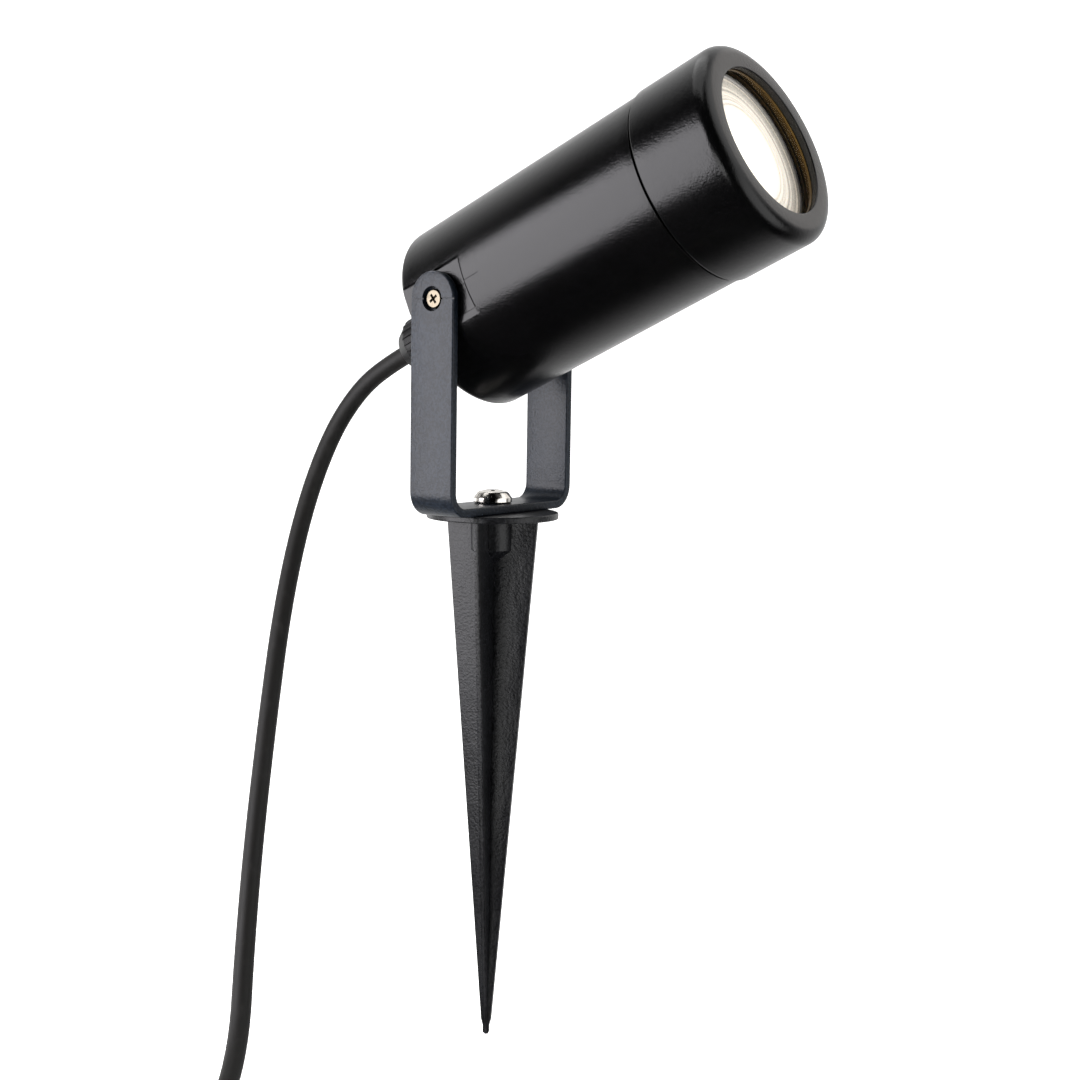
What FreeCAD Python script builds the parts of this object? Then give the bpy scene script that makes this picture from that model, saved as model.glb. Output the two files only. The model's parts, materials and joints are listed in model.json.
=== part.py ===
import FreeCAD, Part
import math
import os
import re
import Sketcher
from FreeCAD import Placement, Rotation, Vector

# A garden spotlight on a ground spike: a tubular lamp head that tilts in a bent-strip yoke,
# and the yoke turns on the flange of the spike.
# Lengths are in millimetres. The origin is on the spike's axis at the ground line, +Z points up,
# +X is the side that the beam points to and Y runs along the tilt axis.
# "Along" a head piece means along the beam's axis, forward from the tilt axis.

SIZES = (
    # ground spike
    ("flange_radius", 20.7, "flange that sits on the soil"),
    ("flange_thick", 2.0, "flange thickness"),
    ("fin_reach", 15.0, "a fin's reach from the axis at the ground line"),
    ("fin_thick", 2.0, "fin thickness"),
    ("fin_foot", 1.6, "a fin's reach at its lower end"),
    ("spike_depth", 168.0, "ground line to the tip"),
    ("tip_length", 5.0, "blunt tip below the fins"),
    ("boss_radius", 6.8, "screw boss under the flange"),
    ("boss_depth", 10.0, "depth of the boss"),
    ("boss_cone", 4.5, "cone below the boss"),
    ("spike_turn", 18.3, "turn of the fins about the axis, degrees"),
    # clamp screw between spike and yoke
    ("clamp_radius", 3.0, "clamp screw thread"),
    ("clamp_head_radius", 6.0, "clamp screw head"),
    ("clamp_head_height", 4.2, "height of that head"),
    ("clamp_reach", 13.0, "clamp screw length under its head"),
    ("insert_radius", 4.6, "brass insert in the boss"),
    ("insert_length", 8.0, "length of the insert"),
    ("thread_gap", 0.05, "clearance round a screw in its thread"),
    # yoke
    ("yoke_half", 30.5, "half of the yoke's outer width"),
    ("strip_thick", 2.7, "strip thickness"),
    ("strip_wide", 16.3, "strip width"),
    ("bend_radius", 7.5, "outer radius of the yoke's bends"),
    ("pivot_height", 67.0, "tilt axis above the ground line"),
    ("ear_recess", 3.7, "radius of the round recess in an ear"),
    ("recess_depth", 2.0, "depth of that recess"),
    ("ear_bore", 1.6, "radius of the pivot hole in an ear"),
    ("base_bore", 3.1, "radius of the clamp hole in the base"),
    ("line_wide", 0.3, "width of the index lines"),
    ("line_deep", 0.2, "depth of the index lines"),
    ("soft_edge", 0.35, "rounding of the strip's edges"),
    # lamp head
    ("pitch", 24.55, "beam above the horizontal, degrees"),
    ("body_radius", 29.5, "head tube"),
    ("body_rear", 12.0, "tilt axis to the rear face"),
    ("rear_wall", 4.0, "rear wall"),
    ("rear_round", 2.0, "rounding of the rear edge"),
    ("body_bore", 26.6, "radius of the head's inside"),
    ("seam", 78.1, "tilt axis to the seam between body and bezel"),
    ("neck_bore", 24.6, "bore under the threaded neck"),
    ("neck_start", 73.0, "where that bore starts"),
    ("mouth_bore", 25.6, "bore at the front of the neck"),
    ("mouth_start", 86.0, "where that bore starts"),
    ("neck_radius", 28.0, "threaded neck"),
    ("neck_end", 90.0, "front of the neck"),
    ("groove_start", 79.2, "seal groove, rear wall"),
    ("groove_end", 81.4, "seal groove, front wall"),
    ("groove_radius", 26.05, "bottom of the seal groove"),
    ("flat_side", 27.3, "axis to the milled flats that the ears rest on"),
    ("flat_front", 12.1, "front end of the milled flats"),
    ("flat_half", 8.3, "half of the flats' height"),
    ("relief_side", 27.6, "axis to the relief below a flat, which the arm swings over"),
    ("index_front", 18.0, "front end of the index lines on the head"),
    ("pivot_screw", 1.5, "pivot screw thread"),
    ("pivot_head", 2.6, "pivot screw head"),
    ("pivot_head_high", 1.35, "height of that head"),
    ("pivot_reach", 6.5, "how far a pivot screw goes into the head"),
    ("pivot_boss", 5.0, "boss for a pivot screw inside the head"),
    ("pivot_boss_end", 21.0, "axis to the inner end of that boss"),
    ("post_radius", 3.6, "posts that carry the lamp holder's bracket"),
    ("post_place", 21.2, "axis to a post's centre"),
    ("post_end", 16.0, "front end of the posts"),
    ("post_turn", -30.0, "turn of the posts and bracket about the beam, degrees"),
    # bezel, glass and seals
    ("bezel_radius", 30.1, "front ring"),
    ("bezel_start", 78.6, "rear end of the front ring"),
    ("bezel_front", 104.4, "front face"),
    ("bezel_round", 4.3, "rounding of the front edge"),
    ("bezel_bore", 28.06, "bore that screws on to the neck"),
    ("seat_bore", 27.0, "bore round the glass"),
    ("seat_start", 91.0, "where that bore starts"),
    ("lip_back", 102.0, "back of the front lip"),
    ("opening", 22.0, "radius of the opening"),
    ("lip_step", 0.45, "each of the lip's two ring steps"),
    ("glass_radius", 26.2, "front glass"),
    ("glass_back", 98.2, "rear face of the glass"),
    ("glass_front", 101.2, "front face of the glass"),
    ("gasket_radius", 26.8, "outside of the glass seal"),
    ("gasket_inner", 22.6, "inside of the seal in front of the glass"),
    ("gasket_skirt", 25.5, "inside of the seal behind the glass"),
    ("gasket_back", 90.5, "rear end of the seal"),
    ("ring_centre", 27.03, "seal ring, axis to the middle of its section"),
    ("ring_section", 0.94, "seal ring, radius of its section"),
    # lamp
    ("lamp_radius", 25.0, "lamp's front rim"),
    ("lamp_front", 97.4, "lamp's front"),
    ("lamp_base", 43.4, "face of the lamp's base"),
    ("lamp_lens", 23.4, "lamp's lens"),
    ("board_seat", 81.6, "seat of the light source's board"),
    ("board_radius", 18.5, "that board"),
    ("pin_place", 5.0, "axis to a contact pin"),
    ("pin_radius", 1.6, "contact pin"),
    ("pin_head", 2.5, "head of a contact pin"),
    ("pin_length", 7.5, "length of a contact pin"),
    ("holder_radius", 13.0, "lamp holder"),
    ("holder_front", 43.0, "front face of the lamp holder"),
    ("holder_back", 27.4, "rear face of the lamp holder"),
    ("sheet_thick", 1.2, "bracket sheet"),
    # gland and cord
    ("gland_thread", 6.2, "gland's inner thread"),
    ("gland_hole", 6.3, "hole in the rear wall"),
    ("gland_corner", 9.2, "gland nut, over its ribs"),
    ("gland_end", 37.5, "tilt axis to the end of the gland nut"),
    ("cord_radius", 3.0, "cord"),
    ("cord_bore", 3.15, "bore round the cord in the gland"),
    ("coil_start_radius", 41.1, "coil's outer turn"),
    ("coil_pitch", 6.5, "from one turn of the coil to the next"),
    ("coil_layer", 6.5, "from one layer of the coil to the next"),
    ("coil_rise", 1.3, "coil above the level of the spike's tip"),
    ("coil_turn", 216.34, "turn of the coil about its axis, degrees"),
    ("coil_centre_x", 48.3, "coil's centre"),
    ("coil_centre_y", -114.7, "coil's centre"),
    ("core_radius", 1.15, "insulated core"),
)

HALF_TURNS = 11  # half turns of the coil, the middle one climbs from layer to layer
RIBS = 18  # ribs round the gland nut
CORE_PLACE = 1.45  # axis of the cord to the axis of a core

document = FreeCAD.newDocument("SpikeSpotlight")
sheet = document.addObject("Spreadsheet::Sheet", "Sizes")
for line, (alias, number, meaning) in enumerate(SIZES, start=1):
    sheet.set(f"A{line}", meaning)
    sheet.set(f"B{line}", str(number))
    sheet.setAlias(f"B{line}", alias)
document.recompute()
ALIASES = {alias for alias, _, _ in SIZES}
finished = {}  # each finished sub-part by its label


# ---- how the pieces are made --------------------------------------------------------------


def size(alias):
    """A driving dimension, as the sheet holds it."""
    return float(sheet.get(alias))


def bound(formula):
    """The formula with the sheet's name before each alias."""
    return re.sub(
        r"[a-z][a-z_]*",
        lambda word: f"Sizes.{word.group()}" if word.group() in ALIASES else word.group(),
        formula,
    )


def bind(thing, **formulas):
    """Bind sizes of an object to formulas on the sheet's aliases."""
    for name, formula in formulas.items():
        thing.setExpression(name.replace("__", "."), bound(formula))
    return thing


def place(thing, along="0", across="0", up="0", turn=None):
    """Bind an object's place, and its turn where it has one."""
    if turn is not None:
        thing.Placement = Placement(Vector(), turn)
    bind(thing, Placement__Base__x=along, Placement__Base__y=across, Placement__Base__z=up)
    return thing


TO_X = Rotation(Vector(0, 1, 0), 90)
TO_Y = Rotation(Vector(1, 0, 0), -90)
TO_MINUS_Y = Rotation(Vector(1, 0, 0), 90)


def cylinder(radius, height, along="0", across="0", up="0", turn=Rotation()):
    """A round bar. Its axis is Z unless it is turned."""
    bar = document.addObject("Part::Cylinder", "Bar")
    bind(bar, Radius=radius, Height=height)
    return place(bar, along, across, up, turn)


def box(length, width, height, along="0", across="0", up="0", turn=Rotation()):
    """A block whose lowest corner is at the given place."""
    block = document.addObject("Part::Box", "Block")
    bind(block, Length=length, Width=width, Height=height)
    return place(block, along, across, up, turn)


def torus(ring, section, along="0", turn=TO_X):
    """A ring of round section about the X axis."""
    ring_shape = document.addObject("Part::Torus", "Ring")
    bind(ring_shape, Radius1=ring, Radius2=section)
    return place(ring_shape, along, turn=turn)


def outline(body, plane, corners):
    """A closed sketch of straight lines, each corner bound to the sheet.

    A corner is a pair of formulas, measured from the body's origin along the plane's two axes.
    """
    sketch = body.newObject("Sketcher::SketchObject", "Outline")
    support = [part for part in body.Origin.OriginFeatures if part.Role == plane]
    sketch.AttachmentSupport = [(support[0], "")]
    sketch.MapMode = "FlatFace"
    count = len(corners)
    rough = [
        Vector(10 * math.cos(2 * math.pi * k / count), 10 * math.sin(2 * math.pi * k / count), 0)
        for k in range(count)
    ]
    for k in range(count):
        sketch.addGeometry(Part.LineSegment(rough[k], rough[(k + 1) % count]), False)
    for k in range(count):
        sketch.addConstraint(Sketcher.Constraint("Coincident", k, 2, (k + 1) % count, 1))
    for k, (across, up) in enumerate(corners):
        for kind, formula, axis in (("DistanceX", across, -2), ("DistanceY", up, -1)):
            if formula == "0":
                sketch.addConstraint(Sketcher.Constraint("PointOnObject", k, 1, axis))
            else:
                index = sketch.addConstraint(Sketcher.Constraint(kind, -1, 1, k, 1, 1.0))
                sketch.setExpression(f"Constraints[{index}]", bound(formula))
    return sketch


def turned(corners, axis="H_Axis"):
    """A body of revolution about X, or about Z with axis V_Axis, from its half section."""
    body = document.addObject("PartDesign::Body", "Turned")
    sketch = outline(body, "XZ_Plane", corners)
    document.recompute()
    turning = body.newObject("PartDesign::Revolution", "Turning")
    turning.Profile = (sketch, [""])
    turning.ReferenceAxis = (sketch, [axis])
    turning.Angle = 360
    document.recompute()
    return body


def extruded(plane, corners, thickness):
    """A plate of an outline in one of the origin planes, half its thickness on each side."""
    body = document.addObject("PartDesign::Body", "Plate")
    sketch = outline(body, plane, corners)
    document.recompute()
    pad = body.newObject("PartDesign::Pad", "Pad")
    pad.Profile = (sketch, [""])
    pad.SideType = "Symmetric"
    bind(pad, Length=thickness)
    document.recompute()
    return body


def rounded(body, radius, chosen):
    """Round the edges of a body for which chosen(edge) is true."""
    tip = body.Tip
    edges = [f"Edge{k}" for k, edge in enumerate(tip.Shape.Edges, start=1) if chosen(edge)]
    if not edges:
        raise ValueError(f"no edge of {body.Name} to round")
    fillet = body.newObject("PartDesign::Fillet", "Round")
    fillet.Base = (tip, edges)
    bind(fillet, Radius=radius)
    document.recompute()
    return body


def fused(parts):
    """Several overlapping pieces as one."""
    whole = document.addObject("Part::MultiFuse", "Joined")
    whole.Shapes = parts
    whole.Refine = True
    document.recompute()
    return whole


def cut(base, tools):
    """A piece with others taken away from it. Each of them has to remove something."""
    for tool in tools:
        before = base.Shape.Volume if base.Shape.isValid() else 0
        smaller = document.addObject("Part::Cut", "Cut")
        smaller.Base, smaller.Tool = base, tool
        document.recompute()
        if not smaller.Shape.Volume < before:
            raise ValueError(f"{tool.Name} takes nothing away from {base.Name}")
        base = smaller
    return base


def feature(shape):
    """A piece whose shape is worked out here."""
    piece = document.addObject("Part::Feature", "Piece")
    piece.Shape = shape
    return piece


def group(source, placements):
    """Identical pieces in one sub-part, one for each placement."""
    copies = [source.Shape.copy() for _ in placements]
    for shape, where in zip(copies, placements):
        shape.Placement = where.multiply(shape.Placement)
    return feature(Part.makeCompound(copies))


def finish(label, piece, on_head=False, turn=None):
    """Name a finished sub-part. One that is on the head moves from the head's own frame."""
    if not piece.Placement.isIdentity():
        placed = document.addObject("Part::Compound", "Placed")
        placed.Links = [piece]
        document.recompute()
        piece = placed
    piece.Label = label
    if on_head:
        piece.Placement = Placement(
            Vector(0, 0, size("pivot_height")), Rotation(Vector(0, -1, 0), size("pitch"))
        )
        bind(piece, Placement__Base__z="pivot_height", Placement__Rotation__Angle="pitch")
    if turn:
        piece.Placement = Placement(Vector(), Rotation(Vector(0, 0, 1), 0))
        bind(piece, Placement__Rotation__Angle=turn)
    finished[label] = piece
    return piece


def runs_along(edge, axis):
    """Whether a straight edge is parallel to an axis."""
    ends = [vertex.Point for vertex in edge.Vertexes]
    return len(ends) == 2 and abs(abs((ends[1] - ends[0]).dot(axis)) - edge.Length) < 1e-6


# ---- paths of cords and wires --------------------------------------------------------------


def rounded_path(points, least=0.0):
    """Straight runs joined by tangent arcs, each as large as its two runs allow.

    Returns the wire, its length and the radii of its arcs.
    """
    edges, radii, start = [], [], points[0]
    for before, corner, after in zip(points, points[1:], points[2:]):
        back, ahead = (before - corner), (after - corner)
        half_turn = (math.pi - back.getAngle(ahead)) / 2
        reach = 0.45 * min(back.Length, ahead.Length)
        radius = reach / math.tan(half_turn)
        if radius < least:
            raise ValueError(f"arc of {radius:.1f} at {corner} is tighter than {least:.1f}")
        back.normalize()
        ahead.normalize()
        enter, leave = corner + back * reach, corner + ahead * reach
        middle = back + ahead
        middle.normalize()
        top = corner + middle * (radius / math.cos(half_turn) - radius)
        edges += [Part.LineSegment(start, enter).toShape(), Part.Arc(enter, top, leave).toShape()]
        radii.append(radius)
        start = leave
    edges.append(Part.LineSegment(start, points[-1]).toShape())
    wire = Part.Wire(edges)
    return wire, wire.Length, radii


def tube_on(wire, radius, start, direction):
    """A solid tube of round section along a wire."""
    section = Part.Wire([Part.Circle(start, direction, radius).toShape()])
    solid = wire.makePipeShell([section], True, False)
    expected = math.pi * radius**2 * wire.Length
    if abs(solid.Volume - expected) > 0.01 * expected:
        raise ValueError(f"tube holds {solid.Volume:.0f}, its section and length {expected:.0f}")
    return solid


def wire_tube(points, radius):
    """A tube along straight runs and arcs."""
    path, _, _ = rounded_path(points)
    return tube_on(path, radius, points[0], points[1] - points[0])


# ---- ground spike --------------------------------------------------------------------------


def build_spike():
    """The moulded spike with its flange, the insert in its boss and the clamp screw."""
    blade_corners = [
        ("-fin_reach", "0"),
        ("fin_reach", "0"),
        ("fin_foot", "-(spike_depth - tip_length)"),
        ("fin_foot * 0.5", "-spike_depth"),
        ("-fin_foot * 0.5", "-spike_depth"),
        ("-fin_foot", "-(spike_depth - tip_length)"),
    ]
    blade = extruded("XZ_Plane", blade_corners, "fin_thick")
    crossing = extruded("YZ_Plane", blade_corners, "fin_thick")
    flange = turned(
        [
            ("0", "0"),
            ("flange_radius - 0.4", "0"),
            ("flange_radius", "0.4"),
            ("flange_radius", "flange_thick - 0.4"),
            ("flange_radius - 0.4", "flange_thick"),
            ("0", "flange_thick"),
        ],
        "V_Axis",
    )
    boss = turned(
        [
            ("0", "0.5"),
            ("boss_radius", "0.5"),
            ("boss_radius", "-boss_depth"),
            ("fin_thick / 2", "-(boss_depth + boss_cone)"),
            ("0", "-(boss_depth + boss_cone)"),
        ],
        "V_Axis",
    )
    whole = fused([blade, crossing, flange, boss])
    top = "flange_thick"
    pocket = cylinder("insert_radius", "insert_length", up=f"{top} - insert_length - 1")
    entry = cylinder("clamp_radius + 0.4", "2", up=f"{top} - 1")
    relief = cylinder("clamp_radius + 0.2", "3", up=f"{top} - insert_length - 3.5")
    finish("ground_spike", cut(whole, [pocket, entry, relief]), turn="spike_turn")

    insert = turned(
        [
            ("clamp_radius + thread_gap", f"{top} - insert_length - 1"),
            ("insert_radius", f"{top} - insert_length - 1"),
            ("insert_radius", f"{top} - 1"),
            ("clamp_radius + thread_gap", f"{top} - 1"),
        ],
        "V_Axis",
    )
    finish("threaded_insert", insert)
    seat = f"{top} + strip_thick"
    screw = turned(
        [
            ("0", f"{seat} - clamp_reach"),
            ("clamp_radius - 0.6", f"{seat} - clamp_reach"),
            ("clamp_radius", f"{seat} - clamp_reach + 0.6"),
            ("clamp_radius", seat),
            ("clamp_head_radius - 0.5", seat),
            ("clamp_head_radius", f"{seat} + 0.6"),
            ("clamp_head_radius", f"{seat} + clamp_head_height * 0.42"),
            ("clamp_head_radius * 0.9", f"{seat} + clamp_head_height * 0.72"),
            ("clamp_head_radius * 0.66", f"{seat} + clamp_head_height * 0.93"),
            ("clamp_head_radius * 0.4", f"{seat} + clamp_head_height"),
            ("0", f"{seat} + clamp_head_height"),
        ],
        "V_Axis",
    )
    slots = [
        box("6.4", "1.15", "2.6", "-3.2", "-0.575", f"{seat} + clamp_head_height - 2.4"),
        box("1.15", "6.4", "2.6", "-0.575", "-3.2", f"{seat} + clamp_head_height - 2.4"),
    ]
    finish("clamp_screw", cut(screw, slots), turn="spike_turn")


# ---- yoke ----------------------------------------------------------------------------------


def build_yoke():
    """The bent strip that carries the head between its two ears."""
    low = "flange_thick"
    top = "pivot_height + strip_wide / 2"
    inner = "yoke_half - strip_thick"
    strip = extruded(
        "YZ_Plane",
        [
            ("-yoke_half", low),
            ("yoke_half", low),
            ("yoke_half", top),
            (inner, top),
            (inner, f"{low} + strip_thick"),
            (f"-({inner})", f"{low} + strip_thick"),
            (f"-({inner})", top),
            ("-yoke_half", top),
        ],
        "strip_wide",
    )
    floor = size("flange_thick")
    half = size("yoke_half")
    crown = size("pivot_height") + size("strip_wide") / 2

    def lengthwise(edge, across, up):
        """An edge along X at a given place."""
        return runs_along(edge, Vector(1, 0, 0)) and all(
            abs(abs(v.Y) - across) < 0.01 and abs(v.Z - up) < 0.01 for v in edge.Vertexes
        )

    rounded(
        strip,
        "bend_radius - strip_thick",
        lambda edge: lengthwise(edge, half - size("strip_thick"), floor + size("strip_thick")),
    )
    rounded(strip, "bend_radius", lambda edge: lengthwise(edge, half, floor))
    rounded(
        strip,
        "strip_wide / 2 - 0.01",
        lambda edge: runs_along(edge, Vector(0, 1, 0))
        and all(abs(v.Z - crown) < 0.01 for v in edge.Vertexes),
    )
    rounded(
        strip,
        "soft_edge",
        lambda edge: all(abs(abs(v.Y) - half) < 0.01 and v.Z > floor + 1 for v in edge.Vertexes)
        and runs_along(edge, Vector(0, 0, 1)),
    )
    holes = [cylinder("base_bore", "strip_thick + 2", up=f"{low} - 1")]
    for side, turn in ((1, TO_Y), (-1, TO_MINUS_Y)):
        holes.append(
            cylinder("ear_bore", "strip_thick + 2", "0", f"{side} * ({inner} - 1)", "pivot_height", turn)
        )
        holes.append(
            cylinder(
                "ear_recess", "recess_depth + 1", "0",
                f"{side} * (yoke_half - recess_depth)", "pivot_height", turn,
            )
        )
        low_side = "yoke_half - line_deep" if side > 0 else "-yoke_half - 1"
        holes.append(
            box(
                "strip_wide + 2", "1 + line_deep", "line_wide", "-strip_wide / 2 - 1",
                low_side, "pivot_height - line_wide / 2",
            )
        )
    finish("yoke", cut(strip, holes))


# ---- lamp head: housing, pivots ------------------------------------------------------------


def build_housing():
    """The head's tube with its flats, bosses and neck, and the screws that it turns on."""
    shell = turned(
        [
            ("-body_rear", "gland_hole"),
            ("-body_rear", "body_radius"),
            ("seam", "body_radius"),
            ("seam", "neck_radius"),
            ("groove_start", "neck_radius"),
            ("groove_start", "groove_radius"),
            ("groove_end", "groove_radius"),
            ("groove_end", "neck_radius"),
            ("neck_end", "neck_radius"),
            ("neck_end", "mouth_bore"),
            ("mouth_start", "mouth_bore"),
            ("mouth_start", "neck_bore"),
            ("neck_start", "neck_bore"),
            ("neck_start", "body_bore"),
            ("-body_rear + rear_wall", "body_bore"),
            ("-body_rear + rear_wall", "gland_hole"),
        ]
    )
    rear, radius = -size("body_rear"), size("body_radius")

    def rim(along):
        """The test for the tube's outer edge at a place along it."""
        return lambda edge: (
            edge.Curve.TypeId == "Part::GeomCircle"
            and abs(edge.Curve.Radius - radius) < 0.01
            and abs(edge.Curve.Center.x - along) < 0.01
        )

    rounded(shell, "rear_round", rim(rear))
    rounded(shell, "soft_edge", rim(size("seam")))
    inside = "-body_rear + rear_wall - 1"
    bosses = [
        cylinder(
            "post_radius", f"post_end - ({inside})", inside,
            f"{side} * post_place * cos(post_turn)", f"{side} * post_place * sin(post_turn)", TO_X,
        )
        for side in (1, -1)
    ]
    for side, turn in ((1, TO_Y), (-1, TO_MINUS_Y)):
        bosses.append(
            cylinder(
                "pivot_boss", "flat_side - 0.5 - pivot_boss_end", "0",
                f"{side} * pivot_boss_end", "0", turn,
            )
        )
    bosses.append(cylinder("4.5", "7.5", "9", "0", "20"))
    bosses.append(cylinder("3", "6.5", "6", "4", "-27.5"))
    whole = fused([shell] + bosses)
    tools = []
    for side, turn in ((1, TO_Y), (-1, TO_MINUS_Y)):
        for depth, low, high in (
            ("flat_side", "-flat_half", "flat_half"), ("relief_side", "-15", "-flat_half + 0.5")
        ):
            low_side = depth if side > 0 else f"-{depth} - 5"
            tools.append(
                box(
                    "body_rear + flat_front + 5", "5", f"{high} - ({low})",
                    "-body_rear - 5", low_side, low,
                )
            )
        flat_line = "flat_side - line_deep" if side > 0 else "-flat_side - 1"
        tools.append(
            box(
                "flat_front", "1 + line_deep", "line_wide", "0",
                flat_line, "-line_wide / 2",
            )
        )
        round_line = "body_radius - line_deep" if side > 0 else "-body_radius - 1"
        tools.append(
            box(
                "index_front - flat_front + 1", "1 + line_deep", "line_wide", "flat_front - 1",
                round_line, "-line_wide / 2",
            )
        )
        tools.append(
            cylinder(
                "pivot_screw + thread_gap", "pivot_reach + 1.5", "0",
                f"{side} * (flat_side - pivot_reach - 0.5)", "0", turn,
            )
        )
        tools.append(
            cylinder(
                "pivot_screw + thread_gap", "9", "post_end - 8",
                f"{side} * post_place * cos(post_turn)", f"{side} * post_place * sin(post_turn)",
                TO_X,
            )
        )
    tools.append(cylinder("2 + thread_gap", "8", "9", "0", "19"))
    tools.append(cylinder("pivot_screw + thread_gap", "7", "6", "4", "-27"))
    finish("head_body", cut(whole, tools), on_head=True)

    washer = turned(
        [
            ("flat_side", "pivot_screw + 0.1"),
            ("flat_side", "6"),
            ("yoke_half - strip_thick", "6"),
            ("yoke_half - strip_thick", "pivot_screw + 0.1"),
        ]
    )
    sideways = [Placement(Vector(), Rotation(Vector(0, 0, 1), angle)) for angle in (90, -90)]
    finish("pivot_washers", group(washer, sideways), on_head=True)

    seat = "yoke_half - recess_depth"
    screw = turned(
        [
            ("flat_side - pivot_reach", "0"),
            ("flat_side - pivot_reach", "pivot_screw - 0.3"),
            ("flat_side - pivot_reach + 0.3", "pivot_screw"),
            (seat, "pivot_screw"),
            (seat, "pivot_head"),
            (f"{seat} + pivot_head_high * 0.5", "pivot_head"),
            (f"{seat} + pivot_head_high * 0.85", "pivot_head * 0.8"),
            (f"{seat} + pivot_head_high", "pivot_head * 0.5"),
            (f"{seat} + pivot_head_high", "0"),
        ]
    )
    slots = [
        box("1.5", "2.8", "0.6", f"{seat} + pivot_head_high - 0.9", "-1.4", "-0.3"),
        box("1.5", "0.6", "2.8", f"{seat} + pivot_head_high - 0.9", "-0.3", "-1.4"),
    ]
    crossed = cut(screw, slots)
    finish("pivot_screws", group(crossed, sideways), on_head=True)


# ---- bezel, glass and seals ----------------------------------------------------------------


def build_front():
    """The screw-on front ring with its glass and seals."""
    ring = turned(
        [
            ("bezel_start", "bezel_bore"),
            ("bezel_start", "bezel_radius"),
            ("bezel_front", "bezel_radius"),
            ("bezel_front", "opening + 0.3"),
            ("bezel_front - 0.3", "opening"),
            ("bezel_front - 0.9", "opening"),
            ("bezel_front - 0.9", "opening + lip_step"),
            ("bezel_front - 1.7", "opening + lip_step"),
            ("bezel_front - 1.7", "opening + lip_step * 2"),
            ("lip_back", "opening + lip_step * 2"),
            ("lip_back", "seat_bore"),
            ("seat_start", "seat_bore"),
            ("seat_start", "bezel_bore"),
        ]
    )
    radius = size("bezel_radius")

    def rim(along):
        """The test for the ring's outer edge at a place along it."""
        return lambda edge: (
            edge.Curve.TypeId == "Part::GeomCircle"
            and abs(edge.Curve.Radius - radius) < 0.01
            and abs(edge.Curve.Center.x - along) < 0.01
        )

    rounded(ring, "bezel_round", rim(size("bezel_front")))
    rounded(ring, "soft_edge * 1.5", rim(size("bezel_start")))
    finish("front_bezel", ring, on_head=True)

    glass = turned(
        [
            ("glass_back", "0"),
            ("glass_back", "glass_radius - 0.3"),
            ("glass_back + 0.3", "glass_radius"),
            ("glass_front - 0.3", "glass_radius"),
            ("glass_front", "glass_radius - 0.3"),
            ("glass_front", "0"),
        ]
    )
    finish("lens_glass", glass, on_head=True)

    ribs = []
    for k in range(3):
        start = f"glass_back - {0.5 + 1.1 * k}"
        ribs += [
            (start, "gasket_skirt"),
            (f"{start} - 0.25", "gasket_skirt + 0.35"),
            (f"{start} - 0.5", "gasket_skirt"),
        ]
    gasket = turned(
        [
            ("lip_back", "gasket_inner"),
            ("lip_back", "gasket_radius"),
            ("gasket_back", "gasket_radius"),
            ("gasket_back", "gasket_skirt"),
        ]
        + ribs[::-1]
        + [
            ("glass_back", "gasket_skirt"),
            ("glass_back", "glass_radius"),
            ("glass_front", "glass_radius"),
            ("glass_front", "gasket_inner"),
        ]
    )
    finish("lens_gasket", gasket, on_head=True)
    groove_middle = "(groove_start + groove_end) / 2"
    finish("bezel_seal_ring", torus("ring_centre", "ring_section", groove_middle), on_head=True)


# ---- lamp and holder -----------------------------------------------------------------------


def sector(inner, outer, start, length, first, last):
    """A curved block about the X axis: between two radii and two angles, along X from start."""
    rounds = []
    for radius in (outer, inner):
        rounds.append(
            Part.makeCylinder(
                radius, length, Vector(start, 0, 0), Vector(1, 0, 0), last - first
            )
        )
    block = rounds[0].cut(rounds[1])
    # A part cylinder about X starts at +Z, so it is turned back on to the Y axis first.
    block.rotate(Vector(), Vector(1, 0, 0), first - 90)
    return block


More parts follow.
